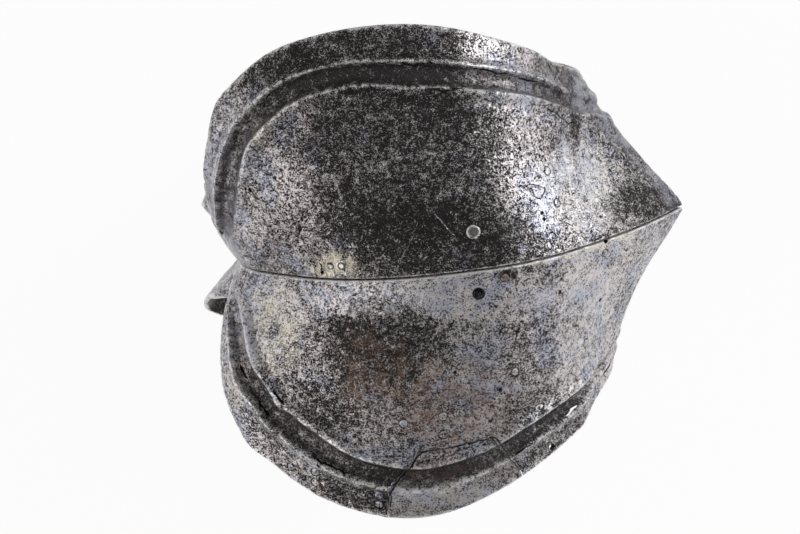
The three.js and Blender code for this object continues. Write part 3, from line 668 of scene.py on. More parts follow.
# %% Steel of the mend and the rivets
MEND_TONES_PX = [(440, 470, 60, 10, -1.2), (450, 497, 60, 8, 0.9)]
MEND_STAINS_PX = [(RUST, [(440, 470, 50, 10, 0.3), (495, 470, 30, 8, 0.4)])]
RIVET_TONES_PX = [(406, 423, 9, 9, 1.5), (588, 343, 9, 9, 1)]
RIVET_STAINS_AND_HIGHLIGHTS_PX = [
    # Painted highlights on rivets in the lit places.
    (BARE_STEEL_AND_HIGHLIGHT, [(337, 265, 14, 8, 2), (549, 171, 9, 9, 2), (558, 203, 9, 9, 1)]),
    (RUST, [(506, 274, 9, 9, 1.4)]),
]
PLUG_STAINS_PX = [
    (BARE_STEEL_AND_HIGHLIGHT, [(473, 232, 14, 14, 3)]), (SMOOTH_BROWN, [(473, 232, 4.6, 4.6, 4)]),
]
mend_steel = pitted_steel("mend_steel", MEND_GREY, -0.5, MEND_TONES_PX, MEND_STAINS_PX, seed=3.1)
rivet_steel = pitted_steel(
    "rivet_steel", RIVET_GREY, -1.2, RIVET_TONES_PX, RIVET_STAINS_AND_HIGHLIGHTS_PX, seed=4.3
)
plug_steel = pitted_steel("plug_steel", PLUG_GREY, 0, stains_and_light=PLUG_STAINS_PX, seed=6.1)
inner_steel = pitted_steel("inner_steel", INNER_BROWN, 0.8, seed=5.9)
broken_steel = pitted_steel("broken_steel", BROKEN_BROWN, 1.5, seed=7.7)
scratched_steel = pitted_steel("scratched_steel", SCRATCH_GREY, -0.6, seed=9.1)

# %% [markdown]
# ## The plates
#
# Each plate is a grid of points: stations round the cop, and rows from the rim to the medial
# line. The stations are spaced by the longer of the two ends of a row, because the free edge of
# the wing turns round a notch that the medial line hardly feels.

# %% Spacing of the stations
NEAR_STEP = 0.66 * MM
FAR_STEP = 1.9 * MM
FINE_STATIONS = 6001
INSIDE_EVERY = 4


def stations_for(side, start=0.0, end=2 + UNDER_WING_SHARE):
    """Stations from the rear round the point to the end under the wing, evenly spaced."""
    fine = np.linspace(start, end, FINE_STATIONS)
    along, height = edge_at(fine, side)
    ends = outside(along, height, side), outside(fine, height * 0, side)
    steps = [np.linalg.norm(np.diff(p, axis=0), axis=1) for p in ends]
    spacing = np.where(fine[1:] <= 1, NEAR_STEP, FAR_STEP)
    run = np.concatenate([[0], np.cumsum(np.maximum(*steps) / spacing)])
    return np.interp(np.linspace(0, run[-1], int(run[-1])), run, fine)


def few_of(station):
    """Numbers of the stations that the coarser inside of the wall has."""
    return np.unique(np.append(np.arange(0, len(station), INSIDE_EVERY), len(station) - 1))


print("stations:", len(stations_for(UPPER)), "above,", len(stations_for(LOWER)), "below")

# %% [markdown]
# The border was worked with a hammer from both sides: a flat band along the rim, a crest, a
# hollow and a second crest. Its profile is one curve over the distance from the rim. Where the
# wall is low, near the point and on the far side, the whole border gets narrower and flatter.

# %% The stepped border
BORDER_STEP = 0.5 * MM
BOWL_STEP = 0.66 * MM
ROUNDING = 0.45 * MM
ROUND_EDGE_SHARES = [(0, 1), (0.3, 0.3), (1, 0)]
FULL_CREST_SHARES = (0.25, 0.9)
CREST_END_SHARES = (1.84, 1.94)
FLATTER_SHARE = 0.6
FLATTER_SHARES = (0.78, 0.95)
REAR_SOFTER_SHARES = (0.14, 0.36)
REAR_CREST_SHARE = 0.25
# Brightness and reach of the crest lines: wear and a painted highlight.
CREST_WEAR_AND_HIGHLIGHT = 0.85
CREST_WEAR_AND_HIGHLIGHT_REACH = 0.7 * CREST_RUN
RIM_WEAR_REACH = 1.2 * MM


def crest_profile(side):
    """Rise of the surface against the distance from the rim."""
    outer = RIM_BAND[side]
    inner = outer + HOLLOW[side]
    return [
        (0, 0), (outer - 3 * CREST_RUN, 0), (outer - 1.4 * CREST_RUN, CREST_RISE * 0.4),
        (outer - 0.5 * CREST_RUN, CREST_RISE * 0.92), (outer, CREST_RISE),
        (outer + 0.5 * CREST_RUN, CREST_RISE * 0.6), (outer + 1.4 * CREST_RUN, -HOLLOW_DEPTH * 0.7),
        ((outer + inner) / 2, -HOLLOW_DEPTH), (inner - 1.5 * CREST_RUN, -HOLLOW_DEPTH * 0.6),
        (inner - 0.6 * CREST_RUN, CREST_RISE * 0.5), (inner, CREST_RISE),
        (inner + 0.7 * CREST_RUN, CREST_RISE * 0.85), (inner + 2.8 * CREST_RUN, 0),
    ]


def border_scale(station, side):
    """Width of the border on each station, as a share of its full width."""
    reach = RIM_BAND[side] + HOLLOW[side] + CREST_RUN
    wide = row_at(BORDER_WIDTH_SHARES, station)[..., 0 if side == UPPER else 1]
    fit = edge_at(station, side)[1] * slant_at(station, side) * BORDER_SHARE / reach / wide
    return wide * fit / (1 + fit**4) ** 0.25


def plate_rows(side, station, foot):
    """Rows of a plate from the rim: side, height, depth, rise, wear (partly a painted highlight)
    and shade of each.
    """
    edge_height = edge_at(station, side)[1]
    slant, scale = slant_at(station, side), border_scale(station, side)
    profile = crest_profile(side)
    profile_end = profile[-1][0]
    border_end, none = profile_end * scale, 0 * station
    rows = [
        (side, edge_height - down * ROUNDING / slant, none + inward * ROUNDING, 0, 1, 0)
        for down, inward in ROUND_EDGE_SHARES
    ]
    steps = int(profile_end * scale.max() / BORDER_STEP)
    border = np.linspace(0, 1, steps)[2:, None] * border_end
    room = (edge_height - foot) * slant - border_end
    bowl = border_end + room * np.linspace(0, 1, int(room.max() / BOWL_STEP))[1:-1, None]
    shown = smooth(*FULL_CREST_SHARES, scale) * (1 - smooth(*CREST_END_SHARES, station))
    shown = shown * (1 - FLATTER_SHARE * smooth(*FLATTER_SHARES, station))
    inner_shown = 1
    if side == UPPER:
        whole = smooth(*REAR_SOFTER_SHARES, station)
        inner_shown = REAR_CREST_SHARE + (1 - REAR_CREST_SHARE) * whole
    outer, inner = RIM_BAND[side], RIM_BAND[side] + HOLLOW[side]
    for distance in np.vstack([border, bowl]):
        full = distance / scale
        rise = row_at(profile, np.minimum(full, profile_end))[..., 0] * shown
        on_inner_crest = (full > (outer + inner) / 2) & (rise > 0)
        rise = rise * np.where(on_inner_crest, inner_shown, 1)
        # The crest lines are rubbed bright and given a painted highlight, and the rim is rubbed
        # bright.
        on_outer, on_inner = (
            np.exp(-(((full - line) / CREST_WEAR_AND_HIGHLIGHT_REACH) ** 2)) for line in (outer, inner)
        )
        rim = np.exp(-(distance / RIM_WEAR_REACH) ** 2)
        wear = CREST_WEAR_AND_HIGHLIGHT * (on_outer + on_inner * inner_shown) * shown + rim
        hollow_end = smooth(inner - CREST_RUN, inner, full)
        shade = smooth(outer, outer + CREST_RUN, full) * (1 - hollow_end)
        rows.append((side, edge_height - distance / slant, none, rise, wear, shade * shown))
    return rows


print("border at the middle, as a share:", border_scale(np.array([0.5]), UPPER).round(2))

# %% [markdown]
# The wall has to keep its thickness, so its inner face is the outer one moved inwards along the
# normal. At the medial line the two flanks meet at an angle, and the normals of both sides turn
# there into one direction, as a mitre does in a picture frame.

# %% A point of the wall
FOLD_REACH = 6 * MM
STEEPEST = 0.5
TUCK_SHARES = (1.91, 1.99)


def wall(station, side, height, inward, rise=0.0):
    """Points at a height on each station, `inward` below the outer surface, lying."""
    along = on_line(station, side, height)
    here, normal = outside(along, height, side), outward(along, height, side)
    level = here - np.array([CENTRE_X, 0, 0])
    level[..., 2] = 0
    level = unit(level)
    leaning = smooth(0, FOLD_REACH, height)[..., None]
    direction = unit(level * (1 - leaning) + normal * leaning)
    tuck = smooth(*TUCK_SHARES, station) * (WALL + SEAM_GAP + REAR_CLEARANCE)
    reach = (rise - inward - tuck) / np.maximum((normal * direction).sum(-1), STEEPEST)
    return lying(here + direction * reach[..., None]), direction @ turn.T


# %% [markdown]
# A closed wall needs two grids and a band that joins their borders. The inner grid may be much
# coarser, since little of it shows. The band then runs between two borders with different
# numbers of points, and always takes the shorter next step.

# %% Join two grids into a plate


def border_of(rows, columns):
    """Point numbers round a grid, as four sides that each start where the last one ended."""
    at = np.arange(rows * columns).reshape(rows, columns)
    return [at[0], at[:, -1], at[-1, ::-1], at[::-1, 0]]


def zip_band(first, second, points):
    """Triangles between two chains of points that start and end beside each other."""
    i, j, faces = 0, 0, []
    while i < len(first) - 1 or j < len(second) - 1:
        go_first = j == len(second) - 1
        if i < len(first) - 1 and not go_first:
            skip_a = np.linalg.norm(points[first[i + 1]] - points[second[j]])
            skip_b = np.linalg.norm(points[second[j + 1]] - points[first[i]])
            go_first = skip_a <= skip_b
        if go_first:
            faces.append((first[i], first[i + 1], second[j]))
            i += 1
        else:
            faces.append((first[i], second[j + 1], second[j]))
            j += 1
    return faces


def grid_faces(rows, columns, offset=0):
    """Quads between the points of a grid, as point numbers."""
    at = np.arange(rows * columns).reshape(rows, columns) + offset
    quads = np.stack([at[:-1, :-1], at[:-1, 1:], at[1:, 1:], at[1:, :-1]], -1)
    return quads.reshape(-1, 4).tolist()


# %% [markdown]
# The mesh carries five attributes for what comes later: which points are on the outside, which
# faces are inside the cop, which way is outwards, and the wear, partly a painted highlight, and
# the shade of the steel.

# %% Close a wall
OUTER = "outer"
INSIDE = "inside"
OUTWARDS = "out"


def grid_of(rows, station):
    """Places and outward directions of listed rows, with their wear, partly a painted highlight,
    and shade.
    """

    def spread(value):
        return np.broadcast_to(value, station.shape)

    made = [wall(station, s, spread(h), spread(d), spread(r)) for s, h, d, r, *_ in rows]
    places, directions = (np.stack([m[k] for m in made]) for k in (0, 1))
    wear, shade = (np.stack([spread(row[k]) for row in rows]) for k in (4, 5))
    return places, directions, wear, shade


def outwards(mesh):
    """Turn all faces of a closed mesh outwards."""
    bm = bmesh.new()
    bm.from_mesh(mesh)
    bmesh.ops.recalc_face_normals(bm, faces=bm.faces)
    bm.to_mesh(mesh)
    bm.free()
    return mesh


def give(mesh, title, kind, values, domain="POINT"):
    """Store an attribute, with a value for each point or face."""
    data = mesh.attributes.new(title, kind, domain).data
    values = np.asarray(values, bool if kind == "BOOLEAN" else np.float32)
    data.foreach_set("vector" if kind == "FLOAT_VECTOR" else "value", values.ravel())


def closed_wall(name, station, outer_rows, few, inner_rows):
    """A closed wall between an outer and an inner grid, with its attributes."""
    outer, inner = grid_of(outer_rows, station), grid_of(inner_rows, few)
    outer_size, inner_size = outer[0].shape[:2], inner[0].shape[:2]
    points, out, wear, shade = (
        np.concatenate([v.reshape(-1, *v.shape[2:]) for v in pair]) for pair in zip(outer, inner)
    )
    count = outer_size[0] * outer_size[1]
    faces = grid_faces(*outer_size)
    inner_start = len(faces)
    faces += grid_faces(*inner_size, count)
    band_start = len(faces)
    for a, b in zip(border_of(*outer_size), border_of(*inner_size)):
        faces += zip_band(a, b + count, points)
    mesh = bpy.data.meshes.new(name)
    mesh.from_pydata(points.tolist(), [], [[int(k) for k in f] for f in faces])
    face_numbers = np.arange(len(faces))
    give(mesh, OUTER, "FLOAT", np.arange(len(points)) < count)
    on_inside = (face_numbers >= inner_start) & (face_numbers < band_start)
    give(mesh, INSIDE, "BOOLEAN", on_inside, "FACE")
    give(mesh, OUTWARDS, "FLOAT_VECTOR", out)
    give(mesh, WEAR_AND_HIGHLIGHT, "FLOAT", wear)
    give(mesh, SHADED, "FLOAT", shade)
    print(name, "grids:", outer_size, inner_size, "faces:", len(mesh.polygons))
    return outwards(mesh)


# %% [markdown]
# Both plates are made by the same steps. Only the foot differs: the upper plate ends in a
# rounded edge on the medial line, and the lower one is joggled inwards there and runs on as a
# flange under the upper plate.

# %% The feet of the plates
# The third column of the joggle outside is its wear, which along the keel is also a painted
# highlight.
JOGGLE_OUTSIDE_MM = [(0.9, 0, 0.3), (0.5, 0, 1.1), (0.2, 0.12, 1.3), (0, 0.45, 1.2), (0, 1.2, 0)]
JOGGLE_INSIDE_MM = [(4.5, 1.4), (2, 1.75), (0.8, 2.5)]
FLANGE_OUTSIDE_MM = [(0.15, 0.35), (0.5, 0.05), (1.2, 0)]
FLANGE_INSIDE_MM = [0.4, 1.5]
FLANGE_OUTSIDE_SHARES = (0.6, 1)
FLANGE_INSIDE_SHARES = (0.7, 1)
FLANGE_START_SHARES = (0.07, 0.13)
FOOT_WEAR = 0.8


def rounded_foot():
    """Rows of the upper plate's edge on the medial line, outside and inside."""
    around = [
        (UPPER, SEAM_GAP + ROUNDING * up, ROUNDING * inward, 0, FOOT_WEAR, 0)
        for up, inward in reversed(ROUND_EDGE_SHARES)
    ]
    behind = [
        (UPPER, SEAM_GAP + ROUNDING, WALL, 0, 0, 0), (UPPER, SEAM_GAP, WALL - ROUNDING, 0, 0, 0),
    ]
    return around, behind


def flanged_foot(lap):
    """Rows of the lower plate's joggle and flange, outside and inside."""
    below = WALL + SEAM_GAP
    full = np.minimum(FLANGE_OUTSIDE_MM[-1][0] * MM, lap)
    around = [(LOWER, h * MM, d * MM, 0, w, 0) for h, d, w in JOGGLE_OUTSIDE_MM]
    around += [
        (UPPER, np.minimum(h * MM, lap), below - d * MM, 0, 0, 0) for h, d in FLANGE_OUTSIDE_MM
    ]
    around += [(UPPER, np.maximum(lap * s, full), below, 0, 0, 0) for s in FLANGE_OUTSIDE_SHARES]
    behind = [(LOWER, h * MM, d * MM, 0, 0, 0) for h, d in JOGGLE_INSIDE_MM]
    behind += [(UPPER, np.minimum(h * MM, lap), below + WALL, 0, 0, 0) for h in FLANGE_INSIDE_MM]
    behind += [(UPPER, lap * s, below + WALL, 0, 0, 0) for s in FLANGE_INSIDE_SHARES]
    return around, behind


# %% Make a plate
LEAST_HEIGHT = 0.3 * MM
LEAST_INNER_HEIGHT = 1 * MM
INNER_RIM_WEAR = 0.9


def make_plate(name, side):
    """The closed wall of a plate, before any weathering."""
    station = stations_for(side)
    few = few_of(station)
    if side == UPPER:
        rows, (around, behind) = plate_rows(side, station, SEAM_GAP), rounded_foot()
    else:
        lap = np.minimum(SEAM_LAP, edge_at(station, UPPER)[1] / 2)
        lap = lap * smooth(*FLANGE_START_SHARES, station)
        rows, (around, behind) = plate_rows(side, station, 0), flanged_foot(lap)
    rows = [row for row in rows if row[1].min() > LEAST_HEIGHT]
    inner_rows = [
        (side, rows[0][1], WALL - ROUNDING, 0, 1, 0),
        (side, rows[2][1], WALL, 0, INNER_RIM_WEAR, 0),
    ]
    inner_rows += [
        (side, row[1], WALL, row[3], 0, 0) for row in rows[len(ROUND_EDGE_SHARES)::INSIDE_EVERY]
        if row[1][few].min() > LEAST_INNER_HEIGHT
    ]
    picked = [tuple(v[few] if np.ndim(v) else v for v in row) for row in inner_rows + behind]
    return closed_wall(name, station, rows + around, station[few], picked)


# %% [markdown]
# ## The mend
#
# In the lower rim a lost piece has been replaced. The new piece fills the hole in the plate and
# is riveted on through a strip behind it. It is bent like the plate, so it starts as the same
# wall, only thicker, and is cut to the hole's outline by a prism. Then the strip joins it.

# %% Cut one mesh with another


def evaluated_mesh(obj):
    """A plain mesh of what an object's modifiers make, without the object."""
    evaluated = obj.evaluated_get(bpy.context.evaluated_depsgraph_get())
    result = bpy.data.meshes.new_from_object(evaluated)
    bpy.data.objects.remove(obj)
    return result


def boolean(mesh, other, operation="DIFFERENCE"):
    """The mesh after a boolean with another closed mesh. New faces keep the other's material."""
    obj, tool = placed(mesh.name, mesh), placed(other.name, other)
    modifier = obj.modifiers.new("boolean", "BOOLEAN")
    modifier.operation = operation
    modifier.object = tool
    modifier.solver = "MANIFOLD"
    modifier.material_mode = "TRANSFER"
    result = evaluated_mesh(obj)
    bpy.data.objects.remove(tool)
    print(mesh.name, operation.lower(), len(mesh.polygons), "->", len(result.polygons), "faces")
    return result


# %% Outline of the mend
MEND_GAP = 0.36 * MM
MEND_REACH = 16 * MM
MEND_OUTLINE_SHARES = [
    (0.29, -1.1), (0.306, -0.954), (0.319, -0.871), (0.353, -0.795), (0.391, -0.716),
    (0.443, -0.711), (0.542, -0.694), (0.562, -0.747), (0.603, -0.857), (0.64, -1),
]
MEND_MIDDLE_SHARES = (0.45, -0.85)


def mend_prism(grow, material):
    """A prism over the mend's outline, square to the wall at its middle."""
    seats = [lying(seat(*shares)[0]) for shares in MEND_OUTLINE_SHARES]
    centre, out = seat(*MEND_MIDDLE_SHARES)
    centre, out = lying(centre), turn @ out
    east = unit(np.cross(turn @ np.array([0, 0, 1]), out))
    north = np.cross(out, east)
    flat = np.array([[(p - centre) @ east, (p - centre) @ north] for p in seats])
    away = flat - flat.mean(axis=0)
    flat = flat.mean(axis=0) + away * (1 + grow / np.linalg.norm(away, axis=1, keepdims=True))
    points = [
        tuple(centre + east * x + north * y + out * height)
        for height in (-MEND_REACH / 2, MEND_REACH / 2) for x, y in flat
    ]
    count = len(flat)
    faces = [tuple(range(count)), tuple(range(count, 2 * count))]
    faces += [(k, (k + 1) % count, (k + 1) % count + count, k + count) for k in range(count)]
    mesh = bpy.data.meshes.new("mend_prism")
    mesh.from_pydata(points, [], faces)
    mesh.materials.append(material)
    return outwards(mesh)


# %% Make the mend
MEND_LAP_WALL = 1.2 * MM
MEND_LAP_HEIGHT = 42 * MM
MEND_LAP_SETBACK = 1.3 * MM
MEND_STEP = 2.2 * MM
MEND_LAST_STEP = 3 * MM
MEND_SPAN_SHARES = (0.415, 0.7)


def make_mend():
    """The new piece of rim, still too large, and the strip behind it."""
    station = stations_for(LOWER, *MEND_SPAN_SHARES)
    few = station[few_of(station)]
    foot = edge_at(station, LOWER)[1] - MEND_LAP_HEIGHT / slant_at(station, LOWER)
    edge_height, slant = edge_at(few, LOWER)[1], slant_at(few, LOWER)
    profile, scale = crest_profile(LOWER), border_scale(few, LOWER)

    def sheet_rows(distances, depth):
        """Rows at these distances from the rim, parallel to the crests of the plate."""
        fulls = [np.minimum(distance / scale, profile[-1][0]) for distance in distances]
        return [
            (LOWER, edge_height - distance / slant, depth, row_at(profile, full)[..., 0], 0, 0)
            for distance, full in zip(distances, fulls)
        ]

    distances = np.arange(0, MEND_LAP_HEIGHT, MEND_STEP)
    distances[-1] = MEND_LAP_HEIGHT
    below = WALL + SEAM_GAP
    inner_rows = sheet_rows(distances, below + MEND_LAP_WALL / 2)
    rows = plate_rows(LOWER, station, foot)
    insert = closed_wall("rim_mend_steel", station, rows, few, inner_rows)
    laps = np.arange(0, MEND_LAP_HEIGHT - MEND_LAST_STEP, MEND_STEP)
    laps = MEND_LAP_SETBACK + np.append(laps, MEND_LAP_HEIGHT)
    top, under = sheet_rows(laps, below), sheet_rows(laps, below + MEND_LAP_WALL)
    return insert, closed_wall("mend_lap", few, top, few, under)


# %% [markdown]
# ## Weathering
#
# Old steel is never smooth: it has shallow dents as wide as a thumb, ripples from the hammer
# and pits from rust. Geometry Nodes push each point along its stored outward direction by three
# noises. Dents and ripples move both faces of the wall together, and pits only the outer one.

# %% A tree with named inputs


def new_tree(name, ports, made):
    """A Geometry Nodes tree with these inputs: a start for its nodes, and each input by name."""
    tree = bpy.data.node_groups.new(name, "GeometryNodeTree")
    for title, kind, value in ports:
        port = tree.interface.new_socket(title, in_out="INPUT", socket_type="NodeSocket" + kind)
        if value is not None:
            port.default_value = value
    tree.interface.new_socket(made, in_out="OUTPUT", socket_type="NodeSocketGeometry")
    given = {s.name: Link(tree, s) for s in tree.nodes.new("NodeGroupInput").outputs if s.name}
    return Link(tree), given


def stored(start, name, kind):
    """A stored attribute of the mesh, read by name."""
    return start.node("GeometryNodeInputNamedAttribute", {"data_type": kind}, {"Name": name})


def with_steel(geometry, steel, where=True):
    """The geometry with a steel on the faces chosen by `where`."""
    inputs = {"Geometry": geometry, "Material": steel, "Selection": where}
    return geometry.node("GeometryNodeSetMaterial", None, inputs)


def grown(name, mesh, tree, values):
    """The mesh after a Geometry Nodes tree with these named inputs."""
    obj = placed(name, mesh)
    modifier = obj.modifiers.new(name, "NODES")
    modifier.node_group = tree
    for item in tree.interface.items_tree:
        if item.in_out == "INPUT" and item.name in values:
            modifier[item.identifier] = values[item.name]
    result = evaluated_mesh(obj)
    print(name, "by Geometry Nodes:", len(result.polygons), "faces")
    return result


# %% The weathering nodes
PIT_SPAN = (0.5, 0.3)


def weathering_tree():
    """Dents, ripples and pits for a wall, and steel for its outside and its inside."""
    start, given = new_tree("weathering", [
        ("Plate", "Geometry", None), ("Dent Size", "Float", 24 * MM),
        ("Dent Depth", "Float", 0.9 * MM), ("Ripple Size", "Float", 6 * MM),
        ("Ripple Depth", "Float", 0.5 * MM), ("Pit Size", "Float", 2 * MM),
        ("Pit Depth", "Float", 0.3 * MM), ("Seed", "Int", 1),
        ("Outer Steel", "Material", None), ("Inner Steel", "Material", None),
    ], "Plate")

    def noise(size, detail):
        position = start.node("GeometryNodeInputPosition")
        inputs = {
            "Vector": position, "W": given["Seed"], "Scale": 1 / given[size], "Detail": detail,
        }
        return start.node("ShaderNodeTexNoise", {"noise_dimensions": "4D"}, inputs)

    dents = (noise("Dent Size", 2.0) - 0.5) * given["Dent Depth"]
    ripples = (noise("Ripple Size", 2.0) - 0.5) * given["Ripple Depth"]
    pits = noise("Pit Size", 3.0).ramp(*PIT_SPAN) * given["Pit Depth"]
    pits = pits * stored(start, OUTER, "FLOAT")
    push = {0: stored(start, OUTWARDS, "FLOAT_VECTOR"), "Scale": dents + ripples - pits}
    offset = start.node("ShaderNodeVectorMath", {"operation": "SCALE"}, push)
    moves = {"Geometry": given["Plate"], "Offset": offset}
    moved = start.node("GeometryNodeSetPosition", None, moves)
    real = start.node("GeometryNodeRealizeInstances", None, {"Geometry": moved})
    outer = with_steel(real, given["Outer Steel"])
    inner = with_steel(outer, given["Inner Steel"], stored(start, INSIDE, "BOOLEAN"))
    start.feed(start.tree.nodes.new("NodeGroupOutput"), {0: inner})
    return start.tree


# %% Weather the plates and set in the mend
MEND_WEATHER = {"Pit Depth": 0.12 * MM, "Ripple Depth": 0.2 * MM}

weathering = weathering_tree()
upper_mesh = grown(
    "upper_plate_steel", make_plate("upper_raw", UPPER), weathering,
    {"Outer Steel": upper_steel, "Inner Steel": inner_steel},
)
lower_mesh = grown(
    "lower_plate_steel", make_plate("lower_raw", LOWER), weathering,
    {"Outer Steel": lower_steel, "Inner Steel": inner_steel},
)
mend_values = MEND_WEATHER | {"Outer Steel": mend_steel, "Inner Steel": inner_steel}
mend_insert, mend_lap = (grown(m.name, m, weathering, mend_values) for m in make_mend())
mend_mesh = boolean(mend_insert, mend_prism(-MEND_GAP, mend_steel), "INTERSECT")
mend_mesh = boolean(mend_mesh, mend_lap, "UNION")
lower_mesh = boolean(lower_mesh, mend_prism(0, broken_steel))

# %% [markdown]
# ## Places by the pixel
#
# The cracks, nicks and scratches have no rule. Each is placed where the photograph shows it: a
# ray from the camera through the pixel finds the point of the steel that is seen there. The
# search uses the weathered plates, so that a groove has the same depth everywhere.

# %% Find the steel behind a pixel
steel_points, steel_faces = [], []
for mesh in (upper_mesh, lower_mesh, mend_mesh):
    first = len(steel_points)
    steel_points += [v.co.copy() for v in mesh.vertices]
    steel_faces += [tuple(k + first for k in p.vertices) for p in mesh.polygons]
steel_tree = BVHTree.FromPolygons(steel_points, steel_faces)

NEARBY_PX = [(4, 0), (-4, 0), (0, 4), (0, -4)]
SAME_STEEL = 4 * MM


def look(x_px, y_px):
    """Place and normal of the first steel behind a pixel, or None twice."""
    ray = (at_pixel(x_px, y_px) - camera.location).normalized()
    return steel_tree.ray_cast(camera.location, ray)[:2]


def sight(x_px, y_px):
    """Place of the steel at a pixel, and its outward normal evened out over the pixels nearby."""
    place, normal = look(x_px, y_px)
    if place is None:
        return None
    nearby = [look(x_px + dx, y_px + dy) for dx, dy in NEARBY_PX]
    normals = [n for p, n in nearby if p is not None and (p - place).length < SAME_STEEL]
    return place, sum(normals, normal.copy()).normalized()


print("steel searched:", len(steel_faces), "faces")

# %% [markdown]
# A crack is a V-shaped wedge along its line, wide at the surface and pointed below. Its width
# and path wander a little, by a fixed seed. Deep wedges go through the wall. A pit is a short
# ragged cone. All wedges and cones of one plate are joined and taken away at once. The lists
# give the width and the depth of a line in millimetres and then its pixels, and for a pit its
# pixel, its radius and its depth.

# %% Places of the cracks, scratches and pits
CRACKS_PX = [
    (0.85, 0.7, [(400, 63), (412, 66), (427, 64)]),
    (0.9, 0.8, [(470, 68), (486, 70), (497, 74), (508, 74)]),
    (0.8, 0.7, [(517, 77), (528, 81), (539, 82)]),
    (0.6, 0.5, [(428, 89), (445, 91), (463, 88)]),
    (0.7, 0.6, [(262, 108), (266, 99), (272, 92)]),
    (0.5, 0.5, [(318, 262), (322, 268), (322, 278)]),
    (0.5, 0.5, [(546, 108), (556, 113), (568, 124), (577, 122)]),
    (0.9, 0.8, [(312, 456), (322, 463), (334, 467), (346, 474)]),
    (0.9, 0.8, [(274, 390), (279, 398), (284, 405)]),
    (0.8, 0.7, [(240, 364), (243, 371), (248, 379)]),
    (0.8, 0.7, [(256, 396), (262, 406), (270, 416)]),
    (1.0, 3.0, [(566, 416), (572, 409), (578, 403)]),
    (0.9, 3.0, [(602, 377), (607, 368), (612, 359)]),
    (0.8, 3.0, [(515, 455), (521, 450), (527, 446)]),
    (0.5, 0.5, [
        (390, 508), (392, 491), (396, 484), (406, 472), (411, 467), (422, 452), (433, 450),
    ]),
    (0.5, 0.5, [(447, 448), (462, 445), (480, 441), (494, 437), (503, 446)]),
    (0.35, 0.4, [(506, 449), (513, 456), (518, 463), (522, 469)]),
    (0.35, 0.25, [(530, 184), (546, 187), (541, 200), (533, 195), (530, 185)]),
]
SCRATCHES_PX = [
    (0.35, 0.16, [(427, 206), (441, 221), (456, 237)]),
    (0.3, 0.14, [(418, 222), (411, 240), (403, 257), (396, 270)]),
    (0.3, 0.14, [(529, 184), (546, 188), (540, 200)]),
    (0.25, 0.12, [(300, 170), (309, 181), (314, 196)]),
    (0.25, 0.12, [(470, 330), (492, 344), (509, 351)]),
    (0.25, 0.12, [(340, 120), (356, 131), (371, 137)]),
    (0.5, 0.15, [
        (387, 508), (389, 491), (393, 483), (403, 471), (408, 465), (420, 450), (431, 447),
    ]),
    (0.45, 0.15, [(447, 446), (462, 443), (480, 439), (495, 434)]),
    (0.3, 0.14, [(524, 209), (517, 221), (512, 236)]),
    (0.25, 0.12, [(285, 140), (292, 158), (291, 171)]),
    (0.25, 0.12, [(610, 320), (596, 335), (585, 352)]),
]
PITS_PX = [
    (542, 213, 0.8, 0.3), (544, 219, 0.8, 0.35), (547, 228, 0.5, 0.3), (506, 274, 1.5, 0.3),
    (330, 330, 0.9, 0.4), (349, 318, 0.8, 0.4), (390, 352, 0.8, 0.35),
    (318, 466, 0.7, 0.4), (430, 318, 0.8, 0.35), (560, 292, 0.8, 0.35), (470, 240, 0.7, 0.4),
    (250, 190, 0.9, 0.4), (300, 230, 0.8, 0.35), (360, 205, 0.7, 0.35), (352, 104, 0.8, 0.4),
    (500, 120, 0.8, 0.4), (520, 148, 0.7, 0.35), (412, 178, 0.7, 0.35), (610, 170, 0.8, 0.4),
    (600, 300, 0.9, 0.35), (540, 330, 0.8, 0.35), (500, 390, 0.8, 0.4), (455, 372, 0.7, 0.35),
    (606, 241, 1.0, 1.6), (552, 447, 1.3, 2.5), (322, 272, 0.8, 1.5),
]
print("cracks, scratches, pits:", len(CRACKS_PX), len(SCRATCHES_PX), len(PITS_PX))

# %% Cutters for the damage
CRACK_STEP = 0.9 * MM
CRACK_LIFT = 0.35 * MM
CRACK_END_SHARE = 0.25
LEAST_DEPTH_SHARE = 0.4
WANDER_PX = 0.5
CRACK_SWING_SHARES = (0.7, 1.25)
PIT_SWING_SHARES = (0.7, 1.2)
PIT_SIDES = 9
PIT_LIFT = 0.4 * MM
PIT_MOUTH_SHARE = 1.25
PIT_FLOOR_SHARE = 0.45
CHANCE_SEED = 5
chance = np.random.default_rng(CHANCE_SEED)


def stitch(bm, rings):
    """Faces between rings of points that follow each other, and over both ends."""
    count = len(rings[0])
    for a, b in zip(rings, rings[1:]):
        for k in range(count):
            bm.faces.new((a[k], a[(k + 1) % count], b[(k + 1) % count], b[k]))
    bm.faces.new(rings[0][::-1])
    bm.faces.new(rings[-1])


def wedge(bm, width, depth, path_px):
    """A wedge under a line of the photograph."""
    path = np.array(path_px, float)
    legs = np.linalg.norm(np.diff(path, axis=0), axis=1)
    run = np.concatenate([[0], np.cumsum(legs)])
    count = max(int(run[-1] * PIXEL / CRACK_STEP), 3)
    at = np.linspace(0, run[-1], count)
    line = np.stack([np.interp(at, run, path[:, k]) for k in (0, 1)], 1)
    line[1:-1] += chance.normal(0, WANDER_PX, (count - 2, 2))
    found = [hit for hit in (sight(*p) for p in line) if hit]
    rings = []
    for k, (place, normal) in enumerate(found):
        before, after = found[max(k - 1, 0)][0], found[min(k + 1, len(found) - 1)][0]
        side = (after - before).cross(normal).normalized()
        at_end = k in (0, len(found) - 1)
        share = CRACK_END_SHARE if at_end else chance.uniform(*CRACK_SWING_SHARES)
        wide, deep = width * MM * share, depth * MM * max(share, LEAST_DEPTH_SHARE)
        spread, lift = side * (wide / 2 * (1 + CRACK_LIFT / deep)), normal * CRACK_LIFT
        corners = (place + spread + lift, place - spread + lift, place - normal * deep)
        rings.append([bm.verts.new(c) for c in corners])
    stitch(bm, rings)


